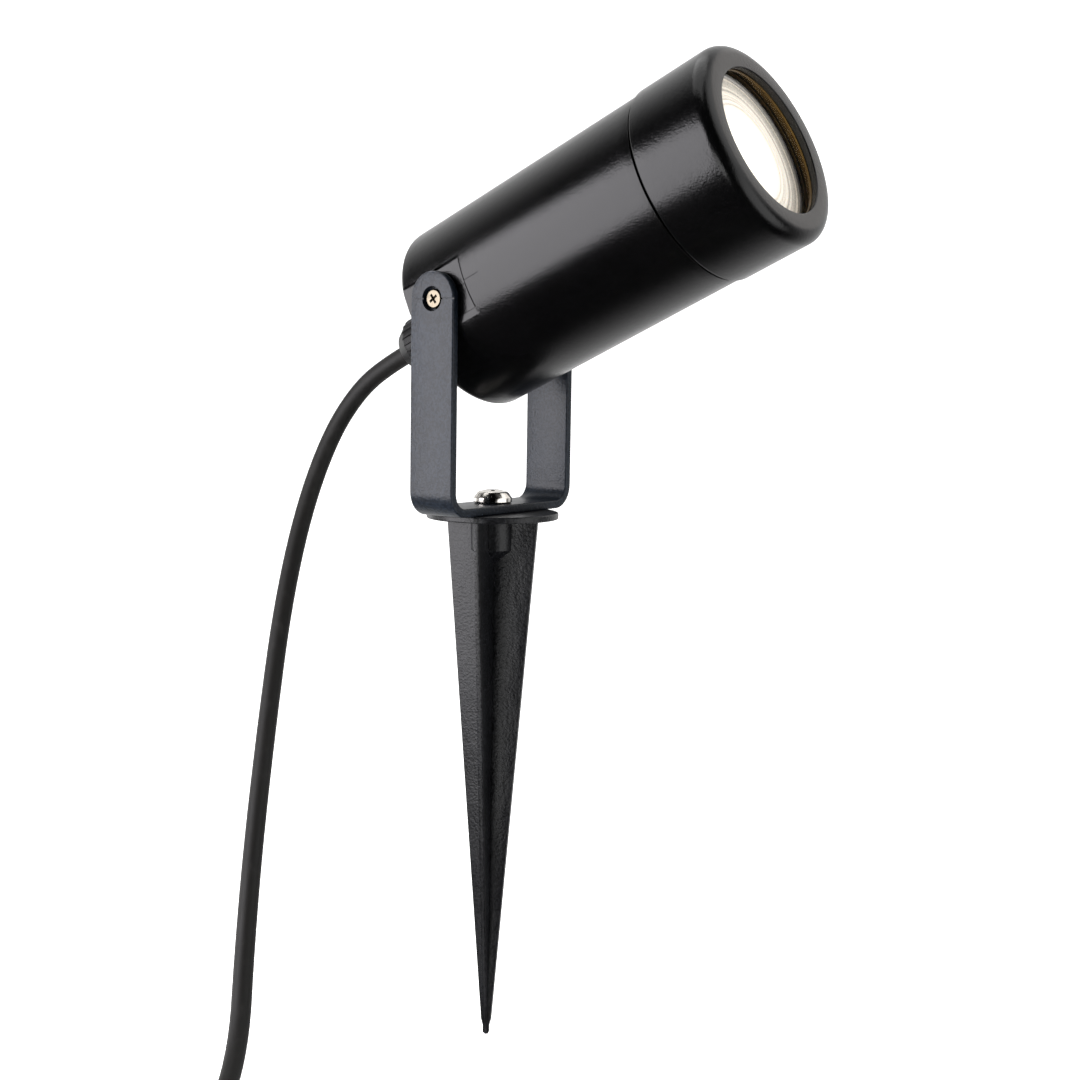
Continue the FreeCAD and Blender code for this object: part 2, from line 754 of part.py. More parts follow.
def build_lamp():
    """The reflector lamp: its housing, lens, light source and contact pins."""
    housing = turned(
        [
            ("lamp_base", "0"),
            ("lamp_base", "11"),
            ("lamp_base + 0.6", "11.6"),
            ("lamp_base + 9", "12"),
            ("lamp_base + 11", "14.6"),
            ("lamp_base + 18", "16.4"),
            ("mouth_start - 1", "23.4"),
            ("mouth_start + 3.5", "lamp_radius"),
            ("lamp_front - 0.4", "lamp_radius"),
            ("lamp_front", "lamp_radius - 0.4"),
            ("lamp_front", "lamp_lens + 0.2"),
            ("lamp_front - 2.8", "lamp_lens + 0.2"),
            ("lamp_front - 2.8", "21.4"),
            ("board_seat + 2", "board_radius + 0.2"),
            ("board_seat", "board_radius + 0.2"),
            ("board_seat", "0"),
        ]
    )
    finish("lamp_housing", housing, on_head=True)

    face = "lamp_front - 0.5"
    rings = []
    for k in range(4):
        outer = 21.6 - 1.1 * k
        rings += [(face, f"{outer}"), (f"{face} - 0.35", f"{outer - 0.55}")]
    lens = turned(
        [
            ("lamp_front - 2.7", "0"),
            ("lamp_front - 2.7", "lamp_lens"),
            (face, "lamp_lens"),
        ]
        + rings
        + [(face, "17.0"), (f"{face} + 0.3", "9"), (f"{face} + 0.4", "0")]
    )
    finish("lamp_lens", lens, on_head=True)
    board = cylinder("board_radius", "1.6", "board_seat", turn=TO_X)
    finish("led_board", board, on_head=True)

    chip = Part.makeBox(0.9, 3.4, 3.4, Vector(size("board_seat") + 1.6, -1.7, -1.7))
    chips = [chip.copy()]
    for k in range(6):
        other = chip.translated(Vector(0, 10.5, 0))
        other.rotate(Vector(), Vector(1, 0, 0), 60 * k)
        chips.append(other)
    finish("led_chips", feature(Part.makeCompound(chips)), on_head=True)

    pin = turned(
        [
            ("lamp_base - pin_length", "0"),
            ("lamp_base - pin_length", "pin_head - 0.4"),
            ("lamp_base - pin_length + 0.4", "pin_head"),
            ("lamp_base - pin_length + 2.6", "pin_head"),
            ("lamp_base - pin_length + 2.6", "pin_radius"),
            ("lamp_base", "pin_radius"),
            ("lamp_base", "0"),
        ]
    )
    apart = [Placement(Vector(0, side * size("pin_place"), 0), Rotation()) for side in (1, -1)]
    finish("lamp_pins", group(pin, apart), on_head=True)


def build_holder():
    """The ceramic lamp holder, its contacts, and the bracket and screws that carry it."""
    back, front, place_of_pins = size("holder_back"), size("holder_front"), size("pin_place")
    pin, head = size("pin_radius") + 0.35, size("pin_head") + 0.4
    ledge = size("lamp_base") - size("pin_length") + 2.6 + 0.5
    chamber = ledge - 7.5
    holder = Part.makeCylinder(
        size("holder_radius"), front - back, Vector(back, 0, 0), Vector(1, 0, 0)
    )
    holder = holder.makeFillet(
        1.0, [edge for edge in holder.Edges if edge.Curve.TypeId == "Part::GeomCircle"]
    )
    contacts = []
    for side in (0, 180):
        # Each pin swings through 30 degrees from its locked place to its way out.
        slot = sector(place_of_pins - pin, place_of_pins + pin, ledge, front - ledge + 1, 0, 30)
        room = sector(place_of_pins - head, place_of_pins + head, chamber, ledge - chamber, -34, 64)
        ends = [
            Part.makeCylinder(wide, front - ledge + 1, Vector(ledge, place_of_pins, 0), Vector(1, 0, 0))
            for wide in (pin, head)
        ]
        ends[1].rotate(Vector(), Vector(1, 0, 0), 30)
        leaf = sector(
            place_of_pins - 2.2, place_of_pins + 2.2,
            size("lamp_base") - size("pin_length") - 0.5, 0.5, -26, 40,
        )
        tab_start = back - 4
        tab = Part.makeBox(
            size("lamp_base") - size("pin_length") - tab_start, 3.0, 0.8,
            Vector(tab_start, place_of_pins - 1.5, -0.4),
        )
        passage = Part.makeBox(
            chamber - back + 2, 3.6, 1.6, Vector(back - 1, place_of_pins - 1.8, -0.8)
        )
        contact = leaf.fuse(tab).removeSplitter()
        for shape in [slot, room, passage, contact] + ends:
            shape.rotate(Vector(), Vector(1, 0, 0), side)
        for shape in [slot, room, passage] + ends:
            holder = holder.cut(shape)
        contacts.append(contact)

    turn = Rotation(Vector(1, 0, 0), size("post_turn"))
    screw_place = 10.4
    for side in (1, -1):
        hole = Part.makeCylinder(
            size("pivot_screw") + size("thread_gap"), 6,
            turn.multVec(Vector(back - 1, side * screw_place, 0)), Vector(1, 0, 0),
        )
        holder = holder.cut(hole)
    finish("lamp_holder", feature(holder), on_head=True)
    finish("holder_contacts", feature(Part.makeCompound(contacts)), on_head=True)

    low, thick = size("post_end"), size("sheet_thick")
    foot, wall = size("post_place") + 3.2, 14.5
    bends = [
        (low, foot), (low + thick, foot), (low + thick, wall), (back, wall),
        (back, -wall), (low + thick, -wall), (low + thick, -foot), (low, -foot),
        (low, -wall + thick), (back - thick, -wall + thick), (back - thick, wall - thick),
        (low, wall - thick),
    ]
    face = Part.Face(Part.makePolygon([Vector(x, y, -9.5) for x, y in bends + bends[:1]]))
    bracket = face.extrude(Vector(0, 0, 19))
    holes = [(side * size("post_place"), low - 1, 1.7, 3) for side in (1, -1)]
    holes += [(side * screw_place, back - 3, 1.7, 4) for side in (1, -1)]
    holes += [(0.0, back - 3, 8.4, 4)]
    for across, start, radius, length in holes:
        bracket = bracket.cut(
            Part.makeCylinder(radius, length, Vector(start, across, 0), Vector(1, 0, 0))
        )
    bracket.rotate(Vector(), Vector(1, 0, 0), size("post_turn"))
    finish("holder_bracket", feature(bracket), on_head=True)

    def small_screw(seat, reach, forward):
        """A round-headed screw on the X axis that goes forward or back from its seat."""
        sign = 1 if forward else -1
        return turned(
            [
                (f"{seat}", "0"),
                (f"{seat} + {sign * reach}", "0"),
                (f"{seat} + {sign * reach}", "pivot_screw"),
                (f"{seat}", "pivot_screw"),
                (f"{seat}", "2.7"),
                (f"{seat} - {sign * 1.2}", "2.7"),
                (f"{seat} - {sign * 2.0}", "1.8"),
                (f"{seat} - {sign * 2.0}", "0"),
            ]
        )

    spots = [Placement(turn.multVec(Vector(0, side * screw_place, 0)), Rotation()) for side in (1, -1)]
    finish(
        "holder_screws", group(small_screw("holder_back - sheet_thick", 5.5, True), spots), on_head=True
    )
    spots = [
        Placement(turn.multVec(Vector(0, side * size("post_place"), 0)), Rotation())
        for side in (1, -1)
    ]
    finish(
        "bracket_screws", group(small_screw("post_end + sheet_thick", 7.0, False), spots), on_head=True
    )


# ---- wiring inside the head ----------------------------------------------------------------


def build_wiring():
    """The terminal block, the earth point and the wires between cord, block and holder."""
    poles = (-8.0, 0.0, 8.0)
    block = Part.makeBox(12, 24, 8, Vector(0, -12, -21))
    block = block.makeFillet(0.8, [edge for edge in block.Edges if abs(edge.BoundBox.ZMin + 13) < 0.01])
    clamps, screws = [], []
    for across in poles:
        bore = Part.makeCylinder(2.2, 12, Vector(0, across, -17.5), Vector(1, 0, 0))
        block = block.cut(bore)
        sleeve = Part.makeCylinder(2.1, 11, Vector(0.5, across, -17.5), Vector(1, 0, 0))
        sleeve = sleeve.cut(Part.makeCylinder(1.3, 11, Vector(0.5, across, -17.5), Vector(1, 0, 0)))
        for along in (2.8, 9.2):
            well = Part.makeCylinder(1.7, 5, Vector(along, across, -17.5), Vector(0, 0, 1))
            block = block.cut(well)
            sleeve = sleeve.cut(
                Part.makeCylinder(1.35, 3, Vector(along, across, -17.5), Vector(0, 0, 1))
            )
            screw = Part.makeCylinder(1.25, 2.6, Vector(along, across, -16.2), Vector(0, 0, 1))
            slot = Part.makeBox(3, 0.5, 0.7, Vector(along - 1.5, across - 0.25, -14.2))
            screws.append(screw.cut(slot))
        clamps.append(sleeve)
    block = block.cut(Part.makeCylinder(1.6, 10, Vector(6, 4, -22), Vector(0, 0, 1)))
    block = block.cut(Part.makeCylinder(2.9, 3, Vector(6, 4, -14.6), Vector(0, 0, 1)))
    finish("terminal_block", feature(block), on_head=True)
    finish("terminal_clamps", feature(Part.makeCompound(clamps)), on_head=True)
    finish("terminal_screws", feature(Part.makeCompound(screws)), on_head=True)
    fixing = Part.makeCylinder(1.5, 11, Vector(6, 4, -25.6), Vector(0, 0, 1))
    fixing = fixing.fuse(Part.makeCylinder(2.7, 1.5, Vector(6, 4, -14.6), Vector(0, 0, 1)))
    finish("block_screw", feature(fixing.removeSplitter()), on_head=True)

    # The earth lug: a ring under the screw's head, and a barrel that the core goes into.
    eye = Vector(9, 0, 19.2)
    lug = Part.makeCylinder(4, 0.8, eye, Vector(0, 0, 1))
    lug = lug.fuse(Part.makeBox(6, 3, 0.8, Vector(1.5, -1.5, 19.2)))
    lug = lug.fuse(Part.makeCylinder(1.75, 4.5, Vector(-1.5, 0, 19.6), Vector(1, 0, 0)))
    lug = lug.cut(Part.makeCylinder(2.1, 2, eye - Vector(0, 0, 0.2), Vector(0, 0, 1)))
    lug = lug.cut(Part.makeCylinder(1.2, 3, Vector(-1.5, 0, 19.6), Vector(1, 0, 0)))
    finish("earth_lug", feature(lug.removeSplitter()), on_head=True)
    earth = Part.makeCylinder(2, 7.5, eye, Vector(0, 0, 1))
    head = Part.makeCylinder(3.6, 2.2, eye - Vector(0, 0, 2.2), Vector(0, 0, 1))
    slot = Part.makeBox(8, 0.8, 0.9, eye - Vector(4, 0.4, 2.2))
    finish("earth_screw", feature(earth.fuse(head).cut(slot).removeSplitter()), on_head=True)

    core = size("core_radius")
    inner_end = -2.0
    corner = CORE_PLACE * math.sqrt(3) / 2
    live = [
        Vector(inner_end, -corner, -CORE_PLACE / 2), Vector(1.0, -corner, -CORE_PLACE / 2),
        Vector(1.5, -4.5, -5.0), Vector(-3.2, -7.5, -10.5), Vector(-6.5, -8.0, -17.5),
        Vector(0.4, -8.0, -17.5),
    ]
    neutral = [
        Vector(inner_end, corner, -CORE_PLACE / 2), Vector(1.0, corner, -CORE_PLACE / 2),
        Vector(1.5, 1.4, -5.5), Vector(-3.2, 0.2, -10.5), Vector(-6.5, 0.0, -17.5),
        Vector(0.4, 0.0, -17.5),
    ]
    earth_core = [
        Vector(inner_end, 0, CORE_PLACE), Vector(2.2, 0, CORE_PLACE), Vector(3.5, 0, 7.0),
        Vector(-2.5, 0, 11.5), Vector(-5.5, 0, 15.5), Vector(-5.0, 0, 19.6),
        Vector(1.4, 0, 19.6),
    ]
    for label, points in (("core_live", live), ("core_neutral", neutral), ("core_earth", earth_core)):
        finish(label, feature(wire_tube(points, core)), on_head=True)

    tab = size("holder_back") - 4
    for label, across, side in (("lead_live", -8.0, -1), ("lead_neutral", 0.0, 1)):
        points = [
            Vector(11.6, across, -17.5), Vector(17.0, across, -17.5),
            Vector(21.0, across + 1.5 * side, -11.0), Vector(18.0, side * 6.5, -4.5),
            Vector(tab - 4.0, side * size("pin_place"), 0),
            Vector(tab, side * size("pin_place"), 0),
        ]
        finish(label, feature(wire_tube(points, 0.9)), on_head=True)


# ---- cable gland ---------------------------------------------------------------------------


def build_gland():
    """The gland in the rear wall: body, washer, locknut, seal bush and ribbed nut."""
    hexagon = Part.makePolygon(
        [
            Vector(0, 8.8 * math.cos(math.pi / 3 * k), 8.8 * math.sin(math.pi / 3 * k))
            for k in range(7)
        ]
    )
    flange = Part.Face(hexagon).extrude(Vector(5.2, 0, 0))
    flange.translate(Vector(-size("body_rear") - 0.8 - 5.2, 0, 0))
    rear = -size("body_rear")
    inner = Part.makeCylinder(
        size("gland_thread"), 9.0, Vector(rear - 1, 0, 0), Vector(1, 0, 0)
    )
    outer = Part.makeCylinder(7.2, 8.5, Vector(rear - 14.4, 0, 0), Vector(1, 0, 0))
    bore = Part.makeCylinder(size("cord_bore"), 30, Vector(rear - 20, 0, 0), Vector(1, 0, 0))
    cage = Part.makeCylinder(5.3, 6.4, Vector(rear - 14.4, 0, 0), Vector(1, 0, 0))
    body = flange.fuse(inner).fuse(outer).cut(bore).cut(cage).removeSplitter()
    finish("gland_body", feature(body), on_head=True)
    washer = Part.makeCylinder(8.6, 0.8, Vector(rear - 0.8, 0, 0), Vector(1, 0, 0))
    washer = washer.cut(
        Part.makeCylinder(size("gland_thread") + 0.05, 3, Vector(rear - 2, 0, 0), Vector(1, 0, 0))
    )
    finish("gland_washer", feature(washer), on_head=True)
    inside = rear + size("rear_wall")
    corners = [
        Vector(inside, 9 * math.cos(math.pi / 3 * k), 9 * math.sin(math.pi / 3 * k)) for k in range(7)
    ]
    nut = Part.Face(Part.makePolygon(corners)).extrude(Vector(3.0, 0, 0))
    nut = nut.cut(
        Part.makeCylinder(size("gland_thread") + 0.05, 20, Vector(rear - 2, 0, 0), Vector(1, 0, 0))
    )
    finish("gland_locknut", feature(nut), on_head=True)
    bush = turned(
        [
            ("-body_rear - 8.3", "cord_bore"),
            ("-body_rear - 8.3", "5.2"),
            ("-body_rear - 15.6", "5.2"),
            ("-body_rear - 20.4", "4.4"),
            ("-body_rear - 20.4", "cord_bore"),
        ]
    )
    finish("gland_bush", bush, on_head=True)

    cap = turned(
        [
            ("-body_rear - 6.4", "7.3"),
            ("-body_rear - 6.4", "gland_corner - 0.4"),
            ("-body_rear - 6.8", "gland_corner"),
            ("-gland_end + 3.4", "gland_corner"),
            ("-gland_end + 1.5", "gland_corner - 0.75"),
            ("-gland_end + 0.4", "gland_corner - 2.1"),
            ("-gland_end", "gland_corner - 3.4"),
            ("-gland_end", "cord_bore"),
            ("-gland_end + 1.4", "cord_bore"),
            ("-gland_end + 3.0", "5.6"),
            ("-body_rear - 15.6", "7.3"),
        ]
    )
    grooves = []
    for k in range(RIBS):
        groove = Part.makeCylinder(
            0.62, 9.2, Vector(-size("gland_end") + 7.4, size("gland_corner") + 0.28, 0), Vector(1, 0, 0)
        )
        groove.rotate(Vector(), Vector(1, 0, 0), 360 / RIBS * (k + 0.5))
        grooves.append(groove)
    ribbed = feature(Part.makeCompound(grooves))
    finish("gland_nut", cut(cap, [ribbed]), on_head=True)
    held = cylinder("cord_radius", "gland_end - 2", "-gland_end", turn=TO_X)
    finish("cable_entry", held, on_head=True)


# ---- free cord -----------------------------------------------------------------------------


def build_cord():
    """The cord from the gland to its bare end, with the unused length in a tied coil."""
    tilt = math.radians(size("pitch"))
    axis = Vector(math.cos(tilt), 0, math.sin(tilt))
    pivot = Vector(0, 0, size("pivot_height"))
    floor = -size("spike_depth")
    radius, first = size("cord_radius"), size("coil_start_radius")
    pitch, layer = size("coil_pitch"), size("coil_layer")
    low = floor + size("coil_rise") + radius
    turn = Rotation(Vector(0, 0, 1), size("coil_turn"))
    centre = Vector(size("coil_centre_x"), size("coil_centre_y"), 0)

    def in_coil(x, y, z):
        """A point of the coil's own frame, whose X axis points at the cord's way in."""
        return centre + turn.multVec(Vector(x, y, z))

    route = [
        pivot - axis * size("gland_end"),
        pivot - axis * 51,
        Vector(-56.5, -2.0, 37.0),
        Vector(-64.5, -6.0, 22.5),
        Vector(-67.5, -15.0, -1.0),
        Vector(-62.0, -30.0, -30.0),
        Vector(-51.5, -47.0, -62.0),
        Vector(-40.0, -64.5, -97.0),
        Vector(-29.0, -79.0, -126.0),
        Vector(-17.0, -92.5, -146.5),
        in_coil(first, -32.0, low + layer),
        in_coil(first, -2 * radius, low + layer),
    ]
    path, length, radii = rounded_path(route, 5 * 2 * radius)
    free = tube_on(path, radius, route[0], route[1] - route[0])
    print("free stretch", round(length, 1), "mm, radii", [round(r) for r in radii])
    finish("cable", feature(free))

    # Each half turn is an arc whose centre steps by half a pitch, in to the middle and out again.
    edges = [
        Part.LineSegment(
            in_coil(first, -2 * radius, low + layer), in_coil(first, 0, low + layer)
        ).toShape()
    ]
    across, height, side = first, low + layer, 1
    middle = HALF_TURNS // 2
    points = []
    for k in range(HALF_TURNS):
        half = first - (k if k <= middle else HALF_TURNS - 1 - k) * pitch / 2
        end_height = low if k >= middle else low + layer
        start = Vector(across, 0, height)
        far = Vector(across - side * 2 * half, 0, end_height)
        top = (start + far) / 2 + Vector(0, side, 0) * ((far - start).Length / 2)
        arc = Part.Arc(in_coil(*start), in_coil(*top), in_coil(*far)).toShape()
        edges.append(arc)
        points += arc.discretize(90)[:-1]
        across, height, side = far.x, end_height, -side
    tail = in_coil(across, side * 2 * radius, height)
    edges.append(Part.LineSegment(in_coil(across, 0, height), tail).toShape())
    coil_path = Part.Wire(edges)
    least = min(
        (a - b).Length
        for i, a in enumerate(points)
        for b in points[i + 100 :: 2]
    )
    coil = tube_on(
        coil_path, radius, in_coil(first, -2 * radius, low + layer),
        in_coil(0, 1, 0) - in_coil(0, 0, 0),
    )
    print("coil", round(coil_path.Length, 1), "mm, least gap to itself", round(least - 2 * radius, 2))
    finish("cable_coil", feature(coil))
    print("cord in all", round(length + coil_path.Length, 1), "mm")

    # The sheath ends here; three cores come out of it, each with a crimped sleeve on its end.
    heading = turn.multVec(Vector(0, side, 0))
    sideways = turn.multVec(Vector(1, 0, 0))
    sleeves = []
    core = size("core_radius")
    for label, angle, spread in (
        ("end_core_live", 210, -5.0), ("end_core_neutral", 330, 5.0), ("end_core_earth", 90, 0.6)
    ):
        offset = (
            sideways * (CORE_PLACE * math.cos(math.radians(angle)))
            + Vector(0, 0, CORE_PLACE * math.sin(math.radians(angle)))
        )
        start = tail + offset
        end = start + heading * 26 + sideways * spread
        points = [start, start + heading * 9, start + heading * 18 + sideways * (spread * 0.55), end]
        finish(label, feature(wire_tube(points, core)))
        direction = points[-1] - points[-2]
        direction.normalize()
        sleeves.append(Part.makeCylinder(core + 0.25, 2.6, end, direction).fuse(
            Part.makeCylinder(0.75, 9.5, end, direction)).removeSplitter())
    finish("wire_sleeves", feature(Part.makeCompound(sleeves)))

    inner, outer = first - 2 * pitch - radius - 0.95, first + radius + 0.35
    under, over = low - radius - 0.3, low + layer + radius + 0.3
    loop = Part.makeBox(
        5, outer - inner + 1.8, over - under + 1.8, Vector(-2.5, inner - 0.9, under - 0.9)
    )
    room = Part.makeBox(7, outer - inner, over - under, Vector(-3.5, inner, under))
    lock = Part.makeBox(6.4, 3.6, 6.4, Vector(-3.2, outer, (under + over) / 2 - 3.2))
    tie = loop.fuse(lock).cut(room).removeSplitter()
    # The lower layer's turns lie half a pitch further back than the upper layer's.
    middle_of_layers = Placement(Vector(-pitch / 2, 0, 0), Rotation())
    tie.Placement = Placement(centre, turn).multiply(middle_of_layers)
    finish("cable_tie", feature(tie))


build_spike()
build_yoke()
build_housing()
build_front()
build_lamp()
build_holder()
build_wiring()
build_gland()
build_cord()
document.recompute()

for thing in document.Objects:
    if "Invalid" in thing.State or "Error" in thing.State:
        raise ValueError(f"{thing.Name} ({thing.Label}) failed")
os.makedirs("parts", exist_ok=True)
for label, piece in finished.items():
    shape = piece.Shape
    if shape.isNull() or not shape.isValid() or not shape.Solids:
        raise ValueError(f"{label} has no valid solid")
    shape.exportStep(f"parts/{label}.step")
    print(label, len(shape.Solids), round(shape.Volume), "mm3")
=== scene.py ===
"""A garden spotlight on a ground spike, dressed for a studio picture.

Sizes in the classes below are millimetres, as a maker's drawing gives them, and become metres
where a mesh is made. The row frame has its origin on the spike's axis at the ground line, +Z up,
+X the way the beam points and Y along the tilt axis. A head piece is drawn about its own X axis,
the beam, with zero at the tilt axis, and then turned up to the head's pitch.
"""

import json
import logging
import math
from collections.abc import Callable, Sequence
from dataclasses import dataclass, field
from enum import Enum

import bmesh
import bpy
from mathutils import Matrix, Vector

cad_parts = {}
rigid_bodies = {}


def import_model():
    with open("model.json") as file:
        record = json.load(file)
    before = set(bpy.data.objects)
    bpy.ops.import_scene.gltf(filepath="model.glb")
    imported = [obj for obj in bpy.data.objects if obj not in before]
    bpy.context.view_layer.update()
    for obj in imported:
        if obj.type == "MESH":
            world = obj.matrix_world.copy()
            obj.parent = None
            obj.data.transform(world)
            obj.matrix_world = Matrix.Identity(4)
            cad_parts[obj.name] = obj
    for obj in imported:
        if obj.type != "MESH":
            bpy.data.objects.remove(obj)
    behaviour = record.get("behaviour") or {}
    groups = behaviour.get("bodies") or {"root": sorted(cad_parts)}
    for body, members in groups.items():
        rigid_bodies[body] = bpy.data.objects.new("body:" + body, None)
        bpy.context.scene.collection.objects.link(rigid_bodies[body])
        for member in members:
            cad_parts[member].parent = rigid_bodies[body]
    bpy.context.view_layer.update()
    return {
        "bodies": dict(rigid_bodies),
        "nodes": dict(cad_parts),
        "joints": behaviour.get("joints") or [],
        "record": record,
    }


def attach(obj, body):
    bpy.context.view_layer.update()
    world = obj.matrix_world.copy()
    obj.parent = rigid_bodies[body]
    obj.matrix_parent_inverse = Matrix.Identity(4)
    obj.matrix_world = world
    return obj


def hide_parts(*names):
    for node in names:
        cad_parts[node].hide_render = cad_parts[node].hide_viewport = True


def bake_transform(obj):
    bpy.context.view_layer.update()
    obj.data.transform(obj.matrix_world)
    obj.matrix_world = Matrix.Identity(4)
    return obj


LOG = logging.getLogger("spotlight")

Colour = tuple[float, float, float]
Place = tuple[float, float, float]
Outline = list[tuple[float, float]]
Corners = list[tuple[float, float, float]]  # two coordinates and a rounding

MM = 0.001
PIVOT = 67.0  # height of the tilt axis
PITCH = 24.55  # of the head at rest, in degrees
SPIKE_DEPTH = 168.0  # the loose cord lies as low as the spike's tip
LENS_RADIUS = 23.4
SHARP = 32.0  # edges that turn by more degrees stay sharp
SIDES = ((1, "far"), (-1, "near"))
SQUARE = ((-1, -1), (1, -1), (1, 1), (-1, 1))
BEAM, UP = Vector((1, 0, 0)), Vector((0, 0, 1))


# ---- node trees ------------------------------------------------------------------------------


class Tree:
    """A node tree that is being built."""

    def __init__(self, tree: bpy.types.NodeTree) -> None:
        """Take a material's, a world's or a Geometry Nodes tree."""
        self.tree = tree

    def node(
        self, kind: str, sockets: dict[str | int, object] | None = None, **settings: object
    ) -> bpy.types.Node:
        """Add a node.

        Args:
            kind: The node's type.
            sockets: What each named or numbered input is given.
            **settings: The node's properties, set first.

        Returns:
            The node.
        """
        node = self.tree.nodes.new(kind)
        for name, setting in settings.items():
            setattr(node, name, setting)
        for name, given in (sockets or {}).items():
            self.give(node.inputs[name], given)
        return node

    def give(self, socket: bpy.types.NodeSocket, given: object) -> None:
        """Set an input to a plain value, or link it to a Value, a socket or a node."""
        if isinstance(given, Value):
            given = given.socket
        elif isinstance(given, bpy.types.Node):
            given = given.outputs[0]
        if isinstance(given, bpy.types.NodeSocket):
            self.tree.links.new(given, socket)
        else:
            socket.default_value = given


def arithmetic(operation: str, flipped: bool = False) -> "Callable[[Value, Value | float], Value]":
    """Make a method of Value that adds one Math node.

    Args:
        operation: The Math node's operation.
        flipped: Whether the other operand comes first.

    Returns:
        The method.
    """

    def method(self: "Value", other: "Value | float") -> "Value":
        """Work on this number and another."""
        return self.apply(operation, *((other, self) if flipped else (self, other)))

    return method


class Value:
    """A number in a node tree. Arithmetic on it adds Math nodes."""

    def __init__(self, tree: Tree, socket: bpy.types.NodeSocket) -> None:
        """Wrap an output socket of the tree that gives a number."""
        self.tree = tree
        self.socket = socket

    def apply(self, operation: str, *operands: "Value | float") -> "Value":
        """Add one Math node and return its result."""
        node = self.tree.node("ShaderNodeMath", dict(enumerate(operands)), operation=operation)
        return Value(self.tree, node.outputs[0])

    __add__ = __radd__ = arithmetic("ADD")
    __sub__ = arithmetic("SUBTRACT")
    __rsub__ = arithmetic("SUBTRACT", flipped=True)
    __mul__ = __rmul__ = arithmetic("MULTIPLY")
    __truediv__ = arithmetic("DIVIDE")
    __pow__ = arithmetic("POWER")

    def sine(self) -> "Value":
        """Sine of an angle in radians."""
        return self.apply("SINE", self)

    def between(self, low: float, high: float, top: float = 1.0) -> "Value":
        """A smooth step.

        Args:
            low: Where it is still 0.
            high: Where it has reached the top. It may be less than low.
            top: What it rises to.

        Returns:
            The step.
        """
        node = self.tree.node(
            "ShaderNodeMapRange",
            {"Value": self, "From Min": low, "From Max": high, "To Max": top},
            interpolation_type="SMOOTHSTEP",
        )
        return Value(self.tree, node.outputs[0])


class Shader(Tree):
    """One material's node tree, with a Principled surface at its end."""

    def __init__(self, name: str) -> None:
        """Make the material of that name."""
        self.material = bpy.data.materials.new(name)
        self.material.use_nodes = True
        super().__init__(self.material.node_tree)
        self.tree.nodes.clear()
        self.surface = self.node("ShaderNodeBsdfPrincipled")
        self.node("ShaderNodeOutputMaterial", {"Surface": self.surface})

    def place(self) -> bpy.types.NodeSocket:
        """The point on the piece, in metres in the row frame."""
        return self.node("ShaderNodeTexCoord").outputs["Object"]

    def noise(self, size: float, detail: float = 2.0, stretch: Place = (1, 1, 1)) -> Value:
        """Noise with features of about the given size.

        Args:
            size: Feature size in millimetres.
            detail: How many finer layers it has.
            stretch: Scale along each axis, to draw the features out.

        Returns:
            A value about 0.5.
        """
        mapping = self.node("ShaderNodeMapping", {"Vector": self.place(), "Scale": stretch})
        sockets = {"Vector": mapping, "Scale": 1 / (size * MM), "Detail": detail}
        return Value(self, self.node("ShaderNodeTexNoise", sockets).outputs["Fac"])

    def blend(
        self, amount: Value, first: Colour | bpy.types.NodeSocket, second: Colour
    ) -> bpy.types.NodeSocket:
        """Mix two colours, the first where the amount is 0 and the second where it is 1."""
        start = (*first, 1) if isinstance(first, tuple) else first
        sockets = {"Factor": amount, 6: start, 7: (*second, 1)}
        return self.node("ShaderNodeMix", sockets, data_type="RGBA").outputs[2]

    def relief(self, height: Value, depth: float) -> None:
        """Give the surface a bump of some depth in millimetres."""
        sockets = {"Height": height, "Distance": depth * MM, "Strength": 1.0}
        self.set(Normal=self.node("ShaderNodeBump", sockets))

    def set(self, **sockets: object) -> None:
        """Set inputs of the surface, named with _ for each space."""
        for name, given in sockets.items():
            self.give(self.surface.inputs[name.replace("_", " ")], given)


# ---- finishes --------------------------------------------------------------------------------


@dataclass(frozen=True)
class Finish:
    """What a surface is finished in. Each kind paints its own material once."""

    name: str

    def paint(self, shader: Shader) -> None:
        """Set up the material's nodes."""
        raise NotImplementedError

    def material(self) -> bpy.types.Material:
        """The material, made on first use."""
        found = bpy.data.materials.get(f"{self.name}_finish")
        if found is None:
            shader = Shader(f"{self.name}_finish")
            self.paint(shader)
            found = shader.material
        return found


@dataclass(frozen=True)
class PowderCoat(Finish):
    """Baked powder: a fine orange peel under a soft gloss."""

    colour: Colour
    roughness: float
    grain: float
    depth: float
    gloss: float
    fleck: float = 1.5

    def paint(self, shader: Shader) -> None:
        """Set up the material's nodes."""
        peel = shader.noise(self.grain, 1.5)
        pits = shader.noise(self.grain * 2.6, 2.0)
        handling = shader.noise(26.0, 3.0)
        lighter = tuple(part * self.fleck + 0.0005 for part in self.colour)
        flecks = handling.between(0.35, 0.75) * 0.4 + peel.between(0.38, 0.62) * 0.6
        shader.set(
            Base_Color=shader.blend(flecks, self.colour, lighter),
            Roughness=self.roughness + 0.08 * (handling - 0.5) + 0.12 * (pits - 0.5),
            Specular_IOR_Level=self.gloss,
        )
        shader.relief(peel + pits * 0.6, self.depth)


